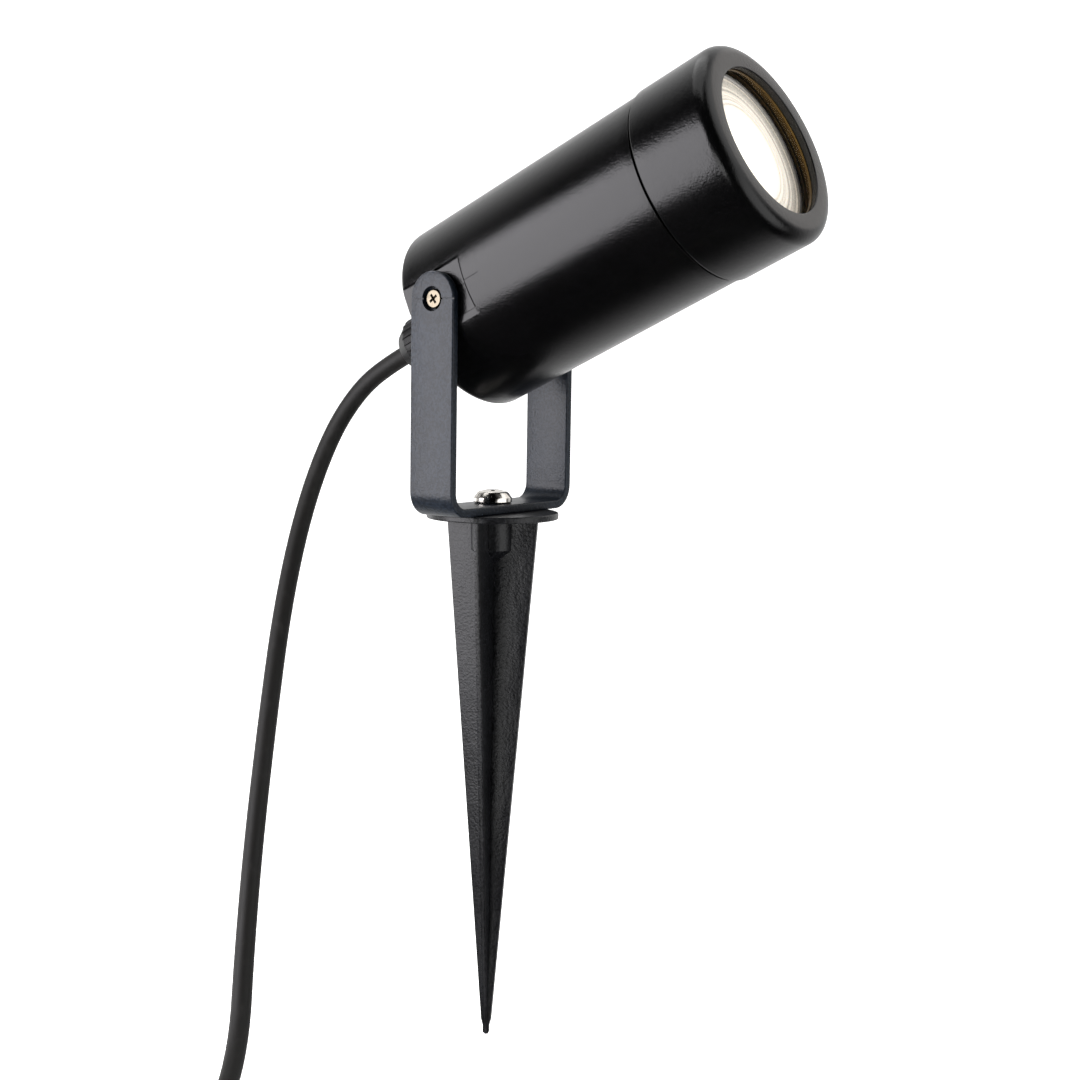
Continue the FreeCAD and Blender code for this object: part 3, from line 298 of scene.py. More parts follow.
@dataclass(frozen=True)
class Moulded(Finish):
    """Moulded plastic or ceramic: a spark-eroded grain and a faint flow mottle."""

    colour: Colour
    roughness: float
    grain: float = 0.35
    depth: float = 0.02
    gloss: float = 0.4
    wave: float = 0.0
    fleck: float = 1.3

    def paint(self, shader: Shader) -> None:
        """Set up the material's nodes."""
        grain = shader.noise(self.grain, 2.0)
        mottle = shader.noise(14.0, 3.0, (1, 1, 0.4))
        lighter = tuple(min(1.0, part * self.fleck + 0.001) for part in self.colour)
        flecks = mottle.between(0.35, 0.7) * 0.4 + grain.between(0.38, 0.62) * 0.6
        shader.set(
            Base_Color=shader.blend(flecks, self.colour, lighter),
            Roughness=self.roughness + 0.12 * (mottle - 0.5) + 0.08 * (grain - 0.5),
            Specular_IOR_Level=self.gloss,
        )
        shader.relief(grain + mottle * self.wave, self.depth)


@dataclass(frozen=True)
class Rubber(Finish):
    """Black rubber: soft sheen, a drawn grain and a trace of talc."""

    colour: Colour
    roughness: float
    grain: float = 0.5
    gloss: float = 0.25
    # Tint of the specular glints. White leaves them as lit; any other colour paints a light's
    # colour into them.
    glint_tint: Colour = (1.0, 1.0, 1.0)

    def paint(self, shader: Shader) -> None:
        """Set up the material's nodes."""
        grain = shader.noise(self.grain, 2.0)
        talc = shader.noise(5.0, 4.0)
        dusty = tuple(part * 1.6 + 0.002 for part in self.colour)
        shader.set(
            Base_Color=shader.blend(talc.between(0.5, 0.8), self.colour, dusty),
            Roughness=self.roughness + 0.2 * (talc - 0.5),
            Specular_IOR_Level=self.gloss,
            Specular_Tint=(*self.glint_tint, 1),
        )
        shader.relief(grain, 0.012)


@dataclass(frozen=True)
class Plated(Finish):
    """Plated or bare metal with fine scratches and a slight stain."""

    colour: Colour
    roughness: float
    grain: float = 0.3
    dents: float = 0.0

    def paint(self, shader: Shader) -> None:
        """Set up the material's nodes."""
        scratches = shader.noise(self.grain, 2.0, (1, 1, 6))
        stain = shader.noise(2.2, 3.0)
        darker = tuple(part * 0.72 for part in self.colour)
        shader.set(
            Base_Color=shader.blend(stain.between(0.4, 0.75), self.colour, darker),
            Metallic=1.0,
            Roughness=self.roughness + 0.16 * (stain - 0.5) + 0.1 * (scratches - 0.5),
        )
        shader.relief(scratches + stain * self.dents, 0.004)


@dataclass(frozen=True)
class ClearGlass(Finish):
    """Toughened front glass: nearly clear, with a faint green body and a film of dust."""

    def paint(self, shader: Shader) -> None:
        """Set up the material's nodes."""
        film = shader.noise(9.0, 4.0)
        shader.set(
            Base_Color=shader.blend(film, (0.03, 0.036, 0.035), (0.05, 0.055, 0.055)),
            Roughness=0.03 + 0.05 * film.between(0.5, 0.85),
            Alpha=0.07 + 0.05 * film,
            IOR=1.5,
        )


@dataclass(frozen=True)
class LampLens(Finish):
    """The lamp's frosted lens: warm light that is brightest near its middle, cut by fine rings."""

    def paint(self, shader: Shader) -> None:
        """Set up the material's nodes."""
        mapping = shader.node(
            "ShaderNodeMapping",
            {
                "Vector": shader.place(), "Location": (0, 0, PIVOT * MM),
                "Rotation": (0, -math.radians(PITCH), 0),
            },
            vector_type="TEXTURE",
        )
        parts = shader.node("ShaderNodeSeparateXYZ", {0: mapping})
        across, up = Value(shader, parts.outputs[1]), Value(shader, parts.outputs[2])
        radius = (across * across + up * up) ** 0.5 / (LENS_RADIUS * MM)
        outer = radius.between(0.2, 0.8)
        waves = (radius * 63.0).sine() + (radius * 101.0).sine()
        rings = (waves * 0.36 + 0.5) * outer * outer
        stipple = shader.noise(0.5, 1.0).between(0.35, 0.65) * radius.between(0.8, 0.84)
        glint = radius.between(0.76, 0.775) * radius.between(0.8, 0.785)
        mottle = shader.noise(1.6, 3.0)
        warm = shader.blend(radius.between(1.02, 0.1), (0.34, 0.3, 0.25), (1.0, 0.94, 0.82))
        dim = rings * 0.7 + stipple * 0.4 + (mottle - 0.5) * 0.3 * outer - glint * 0.8
        shader.set(
            Base_Color=shader.blend(rings * 0.5, (0.9, 0.86, 0.78), (0.4, 0.38, 0.34)),
            Roughness=0.3 + 0.3 * (mottle - 0.5),
            Emission_Color=shader.blend(dim, warm, (0.1, 0.09, 0.075)),
            Emission_Strength=1.6,
        )
        shader.relief(rings * 0.8 + mottle * 0.2, 0.06)


@dataclass(frozen=True)
class StripedSheath(Finish):
    """Green insulation with a yellow stripe that winds along it."""

    def paint(self, shader: Shader) -> None:
        """Set up the material's nodes."""
        parts = shader.node("ShaderNodeSeparateXYZ", {0: shader.place()})
        place = Value(shader, parts.outputs[0]) + Value(shader, parts.outputs[2])
        stripe = (place * 900.0).sine().between(-0.2, 0.2)
        grain = shader.noise(0.4, 2.0)
        shader.set(
            Base_Color=shader.blend(stripe, (0.05, 0.25, 0.04), (0.75, 0.6, 0.03)),
            Roughness=0.4 + 0.1 * (grain - 0.5),
        )
        shader.relief(grain, 0.008)


HEAD_COAT = PowderCoat(
    "head_coat", (0.0008, 0.0008, 0.0009), roughness=0.2, grain=0.5, depth=0.045, gloss=0.27
)
YOKE_COAT = PowderCoat(
    "yoke_coat", (0.0035, 0.005, 0.0075), roughness=0.35, grain=0.75, depth=0.1, gloss=0.25,
    fleck=3.2,
)
SPIKE_PLASTIC = Moulded(
    "spike_plastic", (0.0015, 0.0016, 0.0019), roughness=0.33, grain=0.75, depth=0.12,
    gloss=0.27, wave=7.0, fleck=6.0,
)
GLAND_PLASTIC = Moulded(
    "gland_plastic", (0.004, 0.004, 0.004), roughness=0.42, grain=0.25, depth=0.01, gloss=0.2
)
TIE_PLASTIC = Moulded("tie_plastic", (0.02, 0.02, 0.02), 0.35)
CERAMIC = Moulded("holder_ceramic", (0.8, 0.78, 0.72), 0.4)
BLOCK_PLASTIC = Moulded("block_plastic", (0.78, 0.78, 0.72), 0.45)
LAMP_PLASTIC = Moulded("lamp_plastic", (0.5, 0.49, 0.47), 0.38)
LED_WHITE = Moulded("led_white", (0.8, 0.8, 0.8), 0.5)
LED_YELLOW = Moulded("led_yellow", (0.85, 0.65, 0.12), 0.3)
BROWN = Moulded("core_brown", (0.12, 0.045, 0.02), 0.4)
BLUE = Moulded("core_blue", (0.01, 0.06, 0.35), 0.4)
GREEN = StripedSheath("core_green")
CORD_RUBBER = Rubber("cord_rubber", (0.007, 0.0066, 0.006), 0.55, gloss=0.2)
SEAL_RUBBER = Rubber("seal_rubber", (0.012, 0.009, 0.006), 0.3, gloss=0.5)
# The seal's amber specular tint is painted light: it colours the seal's glints with the lamp's
# warm light.
GLASS_SEAL = Rubber(
    "glass_seal_rubber", (0.012, 0.008, 0.003), 0.24, gloss=1.0, glint_tint=(1.0, 0.62, 0.2)
)
# The pivot screws' nickel: a darker copy of NICKEL, painted shade that keeps the key box's
# reflection in their heads from burning out to white.
SHADED_SCREW_NICKEL = Plated("screw_nickel_painted_shade", (0.14, 0.12, 0.09), 0.26)
CLAMP_NICKEL = Plated("clamp_nickel", (0.7, 0.67, 0.62), 0.16, dents=40.0)
NICKEL = Plated("nickel", (0.78, 0.75, 0.7), 0.2)
ZINC = Plated("zinc", (0.62, 0.63, 0.64), 0.34)
BRASS = Plated("brass", (0.78, 0.56, 0.24), 0.26)
TINNED = Plated("tinned_copper", (0.8, 0.8, 0.78), 0.3)
GLASS = ClearGlass("front_glass")
LENS = LampLens("lamp_lens_glow")

NODE_FINISHES: dict[Finish, tuple[str, ...]] = {
    BRASS: ("threaded_insert", "holder_contacts", "terminal_clamps"),
    ZINC: (
        "holder_bracket", "holder_screws", "bracket_screws", "terminal_screws", "block_screw",
        "earth_screw",
    ),
    TINNED: ("wire_sleeves", "earth_lug"),
    NICKEL: ("lamp_pins",),
    BROWN: ("end_core_live", "core_live", "lead_live"),
    BLUE: ("end_core_neutral", "core_neutral", "lead_neutral"),
    GREEN: ("end_core_earth", "core_earth"),
    SEAL_RUBBER: ("pivot_washers", "bezel_seal_ring", "gland_washer", "gland_bush"),
    CORD_RUBBER: ("cable_entry",),
    GLAND_PLASTIC: ("gland_body", "gland_locknut"),
    TIE_PLASTIC: ("cable_tie",),
    CERAMIC: ("lamp_holder",),
    BLOCK_PLASTIC: ("terminal_block",),
    LED_WHITE: ("led_board",),
    LED_YELLOW: ("led_chips",),
}


def dress_nodes(nodes: dict[str, bpy.types.Object]) -> None:
    """Give each node that shows as it is its own finish.

    Args:
        nodes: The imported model's nodes by name.
    """
    for finish, names in NODE_FINISHES.items():
        for name in names:
            if name in nodes:
                materials = nodes[name].data.materials
                materials.clear()
                materials.append(finish.material())


# ---- mesh building ---------------------------------------------------------------------------


def rotation(degrees: float, axis: str) -> Matrix:
    """A turn about X, Y or Z."""
    return Matrix.Rotation(math.radians(degrees), 4, axis)


class Seat(Enum):
    """Where a piece's own frame lies in the row frame."""

    GROUND = "ground"
    HEAD = "head"

    def matrix(self) -> Matrix:
        """The piece's frame, for coordinates in millimetres."""
        scale = Matrix.Scale(MM, 4)
        if self is Seat.GROUND:
            return scale
        return scale @ Matrix.Translation((0, 0, PIVOT)) @ rotation(-PITCH, "Y")


def add_object(name: str, data: bpy.types.ID) -> bpy.types.Object:
    """Put an object with the given data at the scene's origin."""
    made = bpy.data.objects.new(name, data)
    bpy.context.scene.collection.objects.link(made)
    return made


def smooth(data: bpy.types.Mesh, sharp: float = SHARP) -> None:
    """Shade a mesh smooth, but for edges that turn by more degrees than that."""
    data.polygons.foreach_set("use_smooth", [True] * len(data.polygons))
    data.set_sharp_from_angle(angle=math.radians(sharp))


def evaluated(piece: bpy.types.Object) -> bpy.types.Mesh:
    """A new mesh of what an object's modifiers or curve settings give."""
    bpy.context.view_layer.update()
    result = piece.evaluated_get(bpy.context.evaluated_depsgraph_get())
    return bpy.data.meshes.new_from_object(result)


def flatten(piece: bpy.types.Object) -> None:
    """Make what a piece's modifiers give its own mesh, and remove them."""
    data = evaluated(piece)
    piece.modifiers.clear()
    piece.data = data


def rounded(corners: Corners, steps: int = 6) -> Outline:
    """Round the corners of a closed outline.

    Args:
        corners: Each corner's two coordinates and its radius, 0 for a sharp one.
        steps: Pieces in each rounding.

    Returns:
        The outline's points.
    """
    points: Outline = []
    count = len(corners)
    for k, (x, y, radius) in enumerate(corners):
        corner = Vector((x, y))
        if radius <= 0:
            points.append((x, y))
            continue
        back = Vector(corners[k - 1][:2]) - corner
        ahead = Vector(corners[(k + 1) % count][:2]) - corner
        angle = back.angle(ahead)
        reach = min(radius / math.tan(angle / 2), 0.49 * back.length, 0.49 * ahead.length)
        true_radius = reach * math.tan(angle / 2)
        start, end = corner + back.normalized() * reach, corner + ahead.normalized() * reach
        centre = corner + (back.normalized() + ahead.normalized()).normalized() * (
            true_radius / math.sin(angle / 2)
        )
        first, last = start - centre, end - centre
        for step in range(steps + 1):
            arm = first.slerp(last, step / steps) if first.angle(last) > 1e-4 else first
            points.append(tuple(centre + arm.normalized() * true_radius))
    return points


def lathe(
    outline: Outline, segments: int = 144, step: float = 0.0, axis: str = "X"
) -> bmesh.types.BMesh:
    """Turn a closed half section about an axis.

    Args:
        outline: Points as distance along the axis and radius, in order round the section.
        segments: Faces round the axis.
        step: Longest face along the axis, or 0 for no limit.
        axis: X or Z.

    Returns:
        The turned shape.
    """
    section: Outline = []
    for (x, y), (ahead_x, ahead_y) in zip(outline, outline[1:] + outline[:1]):
        length = math.hypot(ahead_x - x, ahead_y - y)
        pieces = max(1, math.ceil(length / step)) if step else 1
        for k in range(pieces):
            section.append((x + (ahead_x - x) * k / pieces, y + (ahead_y - y) * k / pieces))
    shape = bmesh.new()
    rings = []
    for k in range(segments):
        angle = 2 * math.pi * k / segments
        cosine, sine = math.cos(angle), math.sin(angle)
        if axis == "X":
            ring = [shape.verts.new((along, r * cosine, r * sine)) for along, r in section]
        else:
            ring = [shape.verts.new((r * cosine, r * sine, along)) for along, r in section]
        rings.append(ring)
    count = len(section)
    for here, there in zip(rings, rings[1:] + rings[:1]):
        for k in range(count):
            after = (k + 1) % count
            if section[k][1] or section[after][1]:
                shape.faces.new((here[k], here[after], there[after], there[k]))
    return shape


def loft(rings: Sequence[Sequence[Place | Vector]]) -> bmesh.types.BMesh:
    """Join closed rings of points, one after another, and cap both ends."""
    shape = bmesh.new()
    made = [[shape.verts.new(point) for point in ring] for ring in rings]
    for here, there in zip(made, made[1:]):
        for k in range(len(here)):
            after = (k + 1) % len(here)
            shape.faces.new((here[k], here[after], there[after], there[k]))
    shape.faces.new(made[0][::-1])
    shape.faces.new(made[-1])
    return shape


def prism(section: Outline, start: float, end: float) -> bmesh.types.BMesh:
    """Extrude a section in Y and Z along X."""
    return loft([[(x, y, z) for y, z in section] for x in (start, end)])


def block(low: Place, high: Place) -> bmesh.types.BMesh:
    """A box between two corners."""
    shape = bmesh.new()
    size, middle = Vector(high) - Vector(low), (Vector(high) + Vector(low)) / 2
    place = Matrix.Translation(middle) @ Matrix.Diagonal((*size, 1))
    bmesh.ops.create_cube(shape, size=1, matrix=place)
    return shape


def bar(radius: float, start: Vector, end: Vector, segments: int = 48) -> bmesh.types.BMesh:
    """A round bar between two points."""
    shape = bmesh.new()
    run = end - start
    turn = run.to_track_quat("Z", "Y").to_matrix().to_4x4()
    bmesh.ops.create_cone(
        shape, cap_ends=True, segments=segments, radius1=radius, radius2=radius,
        depth=run.length, matrix=Matrix.Translation((start + end) / 2) @ turn,
    )
    return shape


def cross_recess(
    top: Vector, reach: float, width: float, depth: float, turn: float,
    frame: Matrix = Matrix.Identity(4),
) -> list[bmesh.types.BMesh]:
    """A cross recess as two tapering blades, pointing down from the top of a screw's head.

    Args:
        top: The middle of the head's top.
        reach: How far each blade reaches from the axis.
        width: A blade's width.
        depth: The recess's depth.
        turn: Its turn about the screw, in degrees.
        frame: A frame to put it in, where the screw isn't upright.

    Returns:
        The blades.
    """
    blades = []
    for angle in (turn, turn + 90):
        shape = loft(
            [
                [(x * reach * 0.3, y * width * 0.4, -depth) for x, y in SQUARE],
                [(x * reach * 1.15, y * width * 0.52, 0.8) for x, y in SQUARE],
            ]
        )
        place = Matrix.Translation(top) @ frame @ rotation(angle, "Z")
        bmesh.ops.transform(shape, matrix=place, verts=shape.verts)
        blades.append(shape)
    return blades


def finished(
    name: str, mesh: bmesh.types.BMesh, seat: Seat, finish: Finish, sharp: float = SHARP
) -> bpy.types.Object:
    """Turn a bmesh in millimetres into a finished object at the origin.

    Args:
        name: The piece's name.
        mesh: Its shape. It is freed.
        seat: The frame that the shape is drawn in.
        finish: Its finish.
        sharp: Edges that turn by more degrees than this stay sharp.

    Returns:
        The object.
    """
    bmesh.ops.transform(mesh, matrix=seat.matrix(), verts=mesh.verts)
    bmesh.ops.remove_doubles(mesh, verts=mesh.verts, dist=1e-7)
    bmesh.ops.dissolve_degenerate(mesh, edges=mesh.edges, dist=1e-8)
    bmesh.ops.recalc_face_normals(mesh, faces=mesh.faces)
    data = bpy.data.meshes.new(name)
    mesh.to_mesh(data)
    mesh.free()
    smooth(data, sharp)
    data.materials.append(finish.material())
    return add_object(name, data)


def turned(
    name: str, corners: Corners, finish: Finish, seat: Seat = Seat.HEAD, segments: int = 128,
    step: float = 0.0, arc: int = 6, sharp: float = SHARP,
) -> bpy.types.Object:
    """A finished piece turned about its frame's own axis.

    Args:
        name: The piece's name.
        corners: Its half section: along the axis, radius and rounding of each corner.
        finish: Its finish.
        seat: Its frame: about Z on the ground, about X in the head.
        segments: Faces round the axis.
        step: Longest face along the axis, or 0 for no limit.
        arc: Pieces in each rounding.
        sharp: Edges that turn by more degrees than this stay sharp.

    Returns:
        The object.
    """
    axis = "Z" if seat is Seat.GROUND else "X"
    shape = lathe(rounded(corners, arc), segments, step, axis)
    return finished(name, shape, seat, finish, sharp)


def carve(
    piece: bpy.types.Object, tools: list[bmesh.types.BMesh], seat: Seat, sharp: float = SHARP
) -> bpy.types.Object:
    """Cut shapes out of a piece.

    Args:
        piece: The piece.
        tools: The shapes, in millimetres. They are freed.
        seat: The frame that they are drawn in.
        sharp: Edges that turn by more degrees than this stay sharp.

    Returns:
        The same piece.
    """
    for tool in tools:
        bmesh.ops.transform(tool, matrix=seat.matrix(), verts=tool.verts)
        bmesh.ops.recalc_face_normals(tool, faces=tool.faces)
        data = bpy.data.meshes.new("tool")
        tool.to_mesh(data)
        tool.free()
        cutter = add_object("tool", data)
        modifier = piece.modifiers.new("carve", "BOOLEAN")
        modifier.operation = "DIFFERENCE"
        modifier.solver = "EXACT"
        modifier.object = cutter
        flatten(piece)
        bpy.data.objects.remove(cutter)
        bpy.data.meshes.remove(data)
    smooth(piece.data, sharp)
    return piece


class Around:
    """A Geometry Nodes tree that sets copies of a shape in a ring about an axis of the row."""

    INPUTS = {
        "Geometry": "Geometry", "Count": "Int", "First Turn": "Float", "Material": "Material",
        "Axis": "Vector", "Centre": "Vector",
    }

    def __init__(self) -> None:
        """Build the tree."""
        self.group = bpy.data.node_groups.new("Around", "GeometryNodeTree")
        face = self.group.interface
        self.sockets = {
            name: face.new_socket(
                name, in_out="INPUT", socket_type=f"NodeSocket{kind}"
            ).identifier
            for name, kind in self.INPUTS.items()
        }
        face.new_socket("Geometry", in_out="OUTPUT", socket_type="NodeSocketGeometry")
        node = Tree(self.group).node
        given = node("NodeGroupInput").outputs
        index = node("GeometryNodeInputIndex")
        step = node("ShaderNodeMath", {0: math.tau, 1: given["Count"]}, operation="DIVIDE")
        turn = node(
            "ShaderNodeMath", {0: index, 1: step, 2: given["First Turn"]},
            operation="MULTIPLY_ADD",
        )
        back = node(
            "ShaderNodeVectorMath", {0: given["Centre"], "Scale": -1.0}, operation="SCALE"
        )
        ring = node(
            "GeometryNodeInstanceOnPoints",
            {
                "Points": node("GeometryNodePoints", {"Count": given["Count"]}),
                "Instance": node(
                    "GeometryNodeTransform", {"Geometry": given["Geometry"], "Translation": back}
                ),
                "Rotation": node(
                    "FunctionNodeAxisAngleToRotation", {"Axis": given["Axis"], "Angle": turn}
                ),
            },
        )
        seated = node(
            "GeometryNodeTranslateInstances",
            {"Instances": ring, "Translation": given["Centre"], "Local Space": False},
        )
        real = node("GeometryNodeRealizeInstances", {0: seated})
        painted = node(
            "GeometryNodeSetMaterial", {"Geometry": real, "Material": given["Material"]}
        )
        node("NodeGroupOutput", {0: painted})

    def ring(
        self, piece: bpy.types.Object, count: int, finish: Finish, seat: Seat, axis: Vector,
        first: float = 0.0,
    ) -> None:
        """Repeat a piece in a ring and make the ring its own mesh.

        Args:
            piece: One piece of the ring, already in its place.
            count: How many there are.
            finish: Their finish.
            seat: The frame whose axis they go round.
            axis: The axis in that frame.
            first: The first one's turn, in degrees.
        """
        frame = seat.matrix()
        inputs = {
            "Count": count, "First Turn": math.radians(first), "Material": finish.material(),
            "Axis": (frame.to_3x3() @ axis).normalized(), "Centre": frame.translation,
        }
        modifier = piece.modifiers.new("around", "NODES")
        modifier.node_group = self.group
        for name, given in inputs.items():
            modifier[self.sockets[name]] = given
        flatten(piece)
        smooth(piece.data)


def put(piece: bpy.types.Object, body: str, slot: str, *nodes: str) -> None:
    """Let a piece ride on its body in place of the nodes that it stands for.

    Args:
        piece: The finished piece.
        body: The body that it moves with.
        slot: Not used.
        nodes: The nodes that it replaces.
    """
    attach(piece, body)
    if nodes:
        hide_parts(*nodes)
    LOG.info("%s on %s", piece.name, body)


# ---- the light's sub-assemblies --------------------------------------------------------------


@dataclass
class GroundSpike:
    """The moulded spike, and the screw that clamps the yoke on it."""

    around: Around
    flange_radius: float = 20.7
    flange_thick: float = 2.0
    fins: int = 4
    fin_reach: float = 15.0
    fin_foot: float = 1.6
    fin_thick: float = 2.0
    fin_levels: int = 22
    tip: float = 5.0
    boss_radius: float = 6.8
    boss_depth: float = 10.0
    bore: float = 3.1
    bore_end: float = -9.5
    cone_end: float = -14.5
    turn: float = 18.3
    screw_head: float = 6.0
    screw_seat: float = 4.7
    screw_high: float = 4.2

    def build(self) -> None:
        """Build the spike and its clamp screw."""
        fins = finished("spike_fins", self.fin(), Seat.GROUND, SPIKE_PLASTIC)
        self.around.ring(fins, self.fins, SPIKE_PLASTIC, Seat.GROUND, UP, self.turn)
        put(fins, "spike", "spike_plastic", "ground_spike")
        put(self.flange(), "spike", "spike_plastic", "ground_spike")
        put(self.screw(), "spike", "nickel", "clamp_screw")

    def fin(self) -> bmesh.types.BMesh:
        """One tapering fin, thinner and softly rounded towards its edge."""
        taper = SPIKE_DEPTH - self.tip
        levels = [0.0, -1.5]
        levels += [-taper * k / self.fin_levels for k in range(1, self.fin_levels + 1)]
        levels += [-SPIKE_DEPTH + self.tip * 0.55, -SPIKE_DEPTH + 0.6, -SPIKE_DEPTH]
        rings = []
        for level in levels:
            share = min(1.0, -level / taper)
            reach = self.fin_reach + (self.fin_foot - self.fin_reach) * share
            if level < -taper:
                reach = self.fin_foot * (0.62 if level > -SPIKE_DEPTH else 0.35)
            root = min(self.fin_thick, self.fin_thick * (1.25 - 0.45 * share)) / 2
            edge = min(root * 0.9, reach * 0.8)
            soft = edge * 0.22
            half = [
                (0.0, -root), (reach - soft, -edge), (reach - soft * 0.3, -edge + soft * 0.3),
                (reach, -edge + soft),
            ]
            section = half + [(x, -y) for x, y in reversed(half)]
            rings.append([(x, y, level) for x, y in section])
        return loft(rings)

    def flange(self) -> bpy.types.Object:
        """The flange, its boss below and the moulded fillet between them."""
        top, rim, boss = self.flange_thick, self.flange_radius, self.boss_radius
        corners = [
            (top, self.bore, 0), (top, rim, 0.45), (0, rim, 0.35), (0, boss + 1.1, 0),
            (-0.5, boss + 0.25, 0.3), (-1.2, boss, 0.3), (-self.boss_depth, boss * 0.97, 0.5),
            (self.cone_end, 1.0, 0.4), (self.cone_end, 0, 0), (self.bore_end, 0, 0),
            (self.bore_end, self.bore, 0),
        ]
        return turned("spike_flange", corners, SPIKE_PLASTIC, Seat.GROUND)

    def screw(self) -> bpy.types.Object:
        """The pan-headed clamp screw with its cross recess."""
        low, radius, high = self.screw_seat, self.screw_head, self.screw_high
        corners = [
            (low, 0, 0), (low, radius - 0.5, 0), (low + 0.5, radius, 0.3),
            (low + high * 0.42, radius, 0.9), (low + high * 0.86, radius * 0.78, 1.6),
            (low + high, radius * 0.36, 1.5), (low + high, 0, 0),
        ]
        head = turned(
            "clamp_screw_head", corners, CLAMP_NICKEL, Seat.GROUND, 96, step=0.5, sharp=40
        )
        recess = cross_recess(
            Vector((0, 0, low + high)), reach=3.4, width=1.15, depth=2.3, turn=38.0
        )
        return carve(head, recess, Seat.GROUND)


@dataclass
class Yoke:
    """The bent strip with two rounded ears."""

    half: float = 30.5
    thick: float = 2.68
    wide: float = 16.3
    low: float = 2.0
    bend: float = 7.5
    soft: float = 0.55
    clamp_hole: float = 3.1
    pivot_hole: float = 1.56
    recess: float = 3.7
    recess_depth: float = 2.0
    line: float = 0.5
    line_depth: float = 0.5
    line_reach: float = 12.0
    steps: dict[str, int] = field(
        default_factory=lambda: {"ear": 24, "arm": 16, "bend": 12, "base": 8}
    )

    def build(self) -> None:
        """Build the yoke."""
        piece = finished("yoke_strip", self.strip(), Seat.GROUND, YOKE_COAT)
        hole = [(-1, 0), (-1, self.clamp_hole), (8, self.clamp_hole), (8, 0)]
        tools = [lathe(hole, 64, axis="Z")]
        for side, _ in SIDES:
            outer, inner = side * self.half, side * (self.half - self.thick)
            past = Vector((0, outer + side, PIVOT))
            floor = Vector((0, side * (self.half - self.recess_depth), PIVOT))
            tools.append(bar(self.recess, floor, past, 72))
            tools.append(bar(self.pivot_hole, Vector((0, inner - side, PIVOT)), past, 40))
            near, far = sorted((outer - side * self.line_depth, outer + side))
            reach, half = self.line_reach, self.line / 2
            tools.append(block((-reach, near, PIVOT - half), (reach, far, PIVOT + half)))
        carve(piece, tools, Seat.GROUND)
        put(piece, "yoke", "yoke_coat", "yoke")

    def path(self) -> list[tuple[Vector, Vector, float]]:
        """Stations along the strip's middle line: the place, outward normal and half width."""
        middle_radius = self.bend - self.thick / 2
        across, floor = self.half - self.thick / 2, self.low + self.thick / 2
        down, ear = Vector((0, 0, -1)), self.wide / 2
        stations = []
        for k in range(self.steps["ear"] + 1):
            angle = math.pi / 2 * (1 - k / self.steps["ear"])
            stations.append((PIVOT + ear * math.sin(angle), max(ear * math.cos(angle), 0.02)))
        straight = PIVOT - (floor + middle_radius)
        for k in range(1, self.steps["arm"]):
            stations.append((PIVOT - straight * k / self.steps["arm"], ear))
        right = [(Vector((0, across, z)), Vector((0, 1, 0)), half) for z, half in stations]
        centre = Vector((0, across - middle_radius, floor + middle_radius))
        for k in range(self.steps["bend"] + 1):
            angle = math.pi / 2 * k / self.steps["bend"]
            normal = Vector((0, math.cos(angle), -math.sin(angle)))
            right.append((centre + normal * middle_radius, normal, ear))
        for k in range(1, self.steps["base"]):
            y = (across - middle_radius) * (1 - k / self.steps["base"])
            right.append((Vector((0, y, floor)), down, ear))
        left = [
            (Vector((0, -place.y, place.z)), Vector((0, -normal.y, normal.z)), half)
            for place, normal, half in right
        ]
        return right + [(Vector((0, 0, floor)), down, ear)] + left[::-1]

    def strip(self) -> bmesh.types.BMesh:
        """Sweep the strip's soft-edged section along its path."""
        rings = []
        for place, normal, half in self.path():
            edge = min(self.soft, half * 0.9)
            ring = []
            for side_x, side_n in SQUARE:
                turn = math.atan2(side_n, side_x)
                for k in range(5):
                    angle = turn - math.pi / 4 + math.pi / 8 * k
                    x = side_x * (half - edge) + edge * math.cos(angle)
                    n = side_n * (self.thick / 2 - self.soft) + self.soft * math.sin(angle)
                    ring.append(Vector((x, 0, 0)) + place + normal * n)
            rings.append(ring)
        return loft(rings)


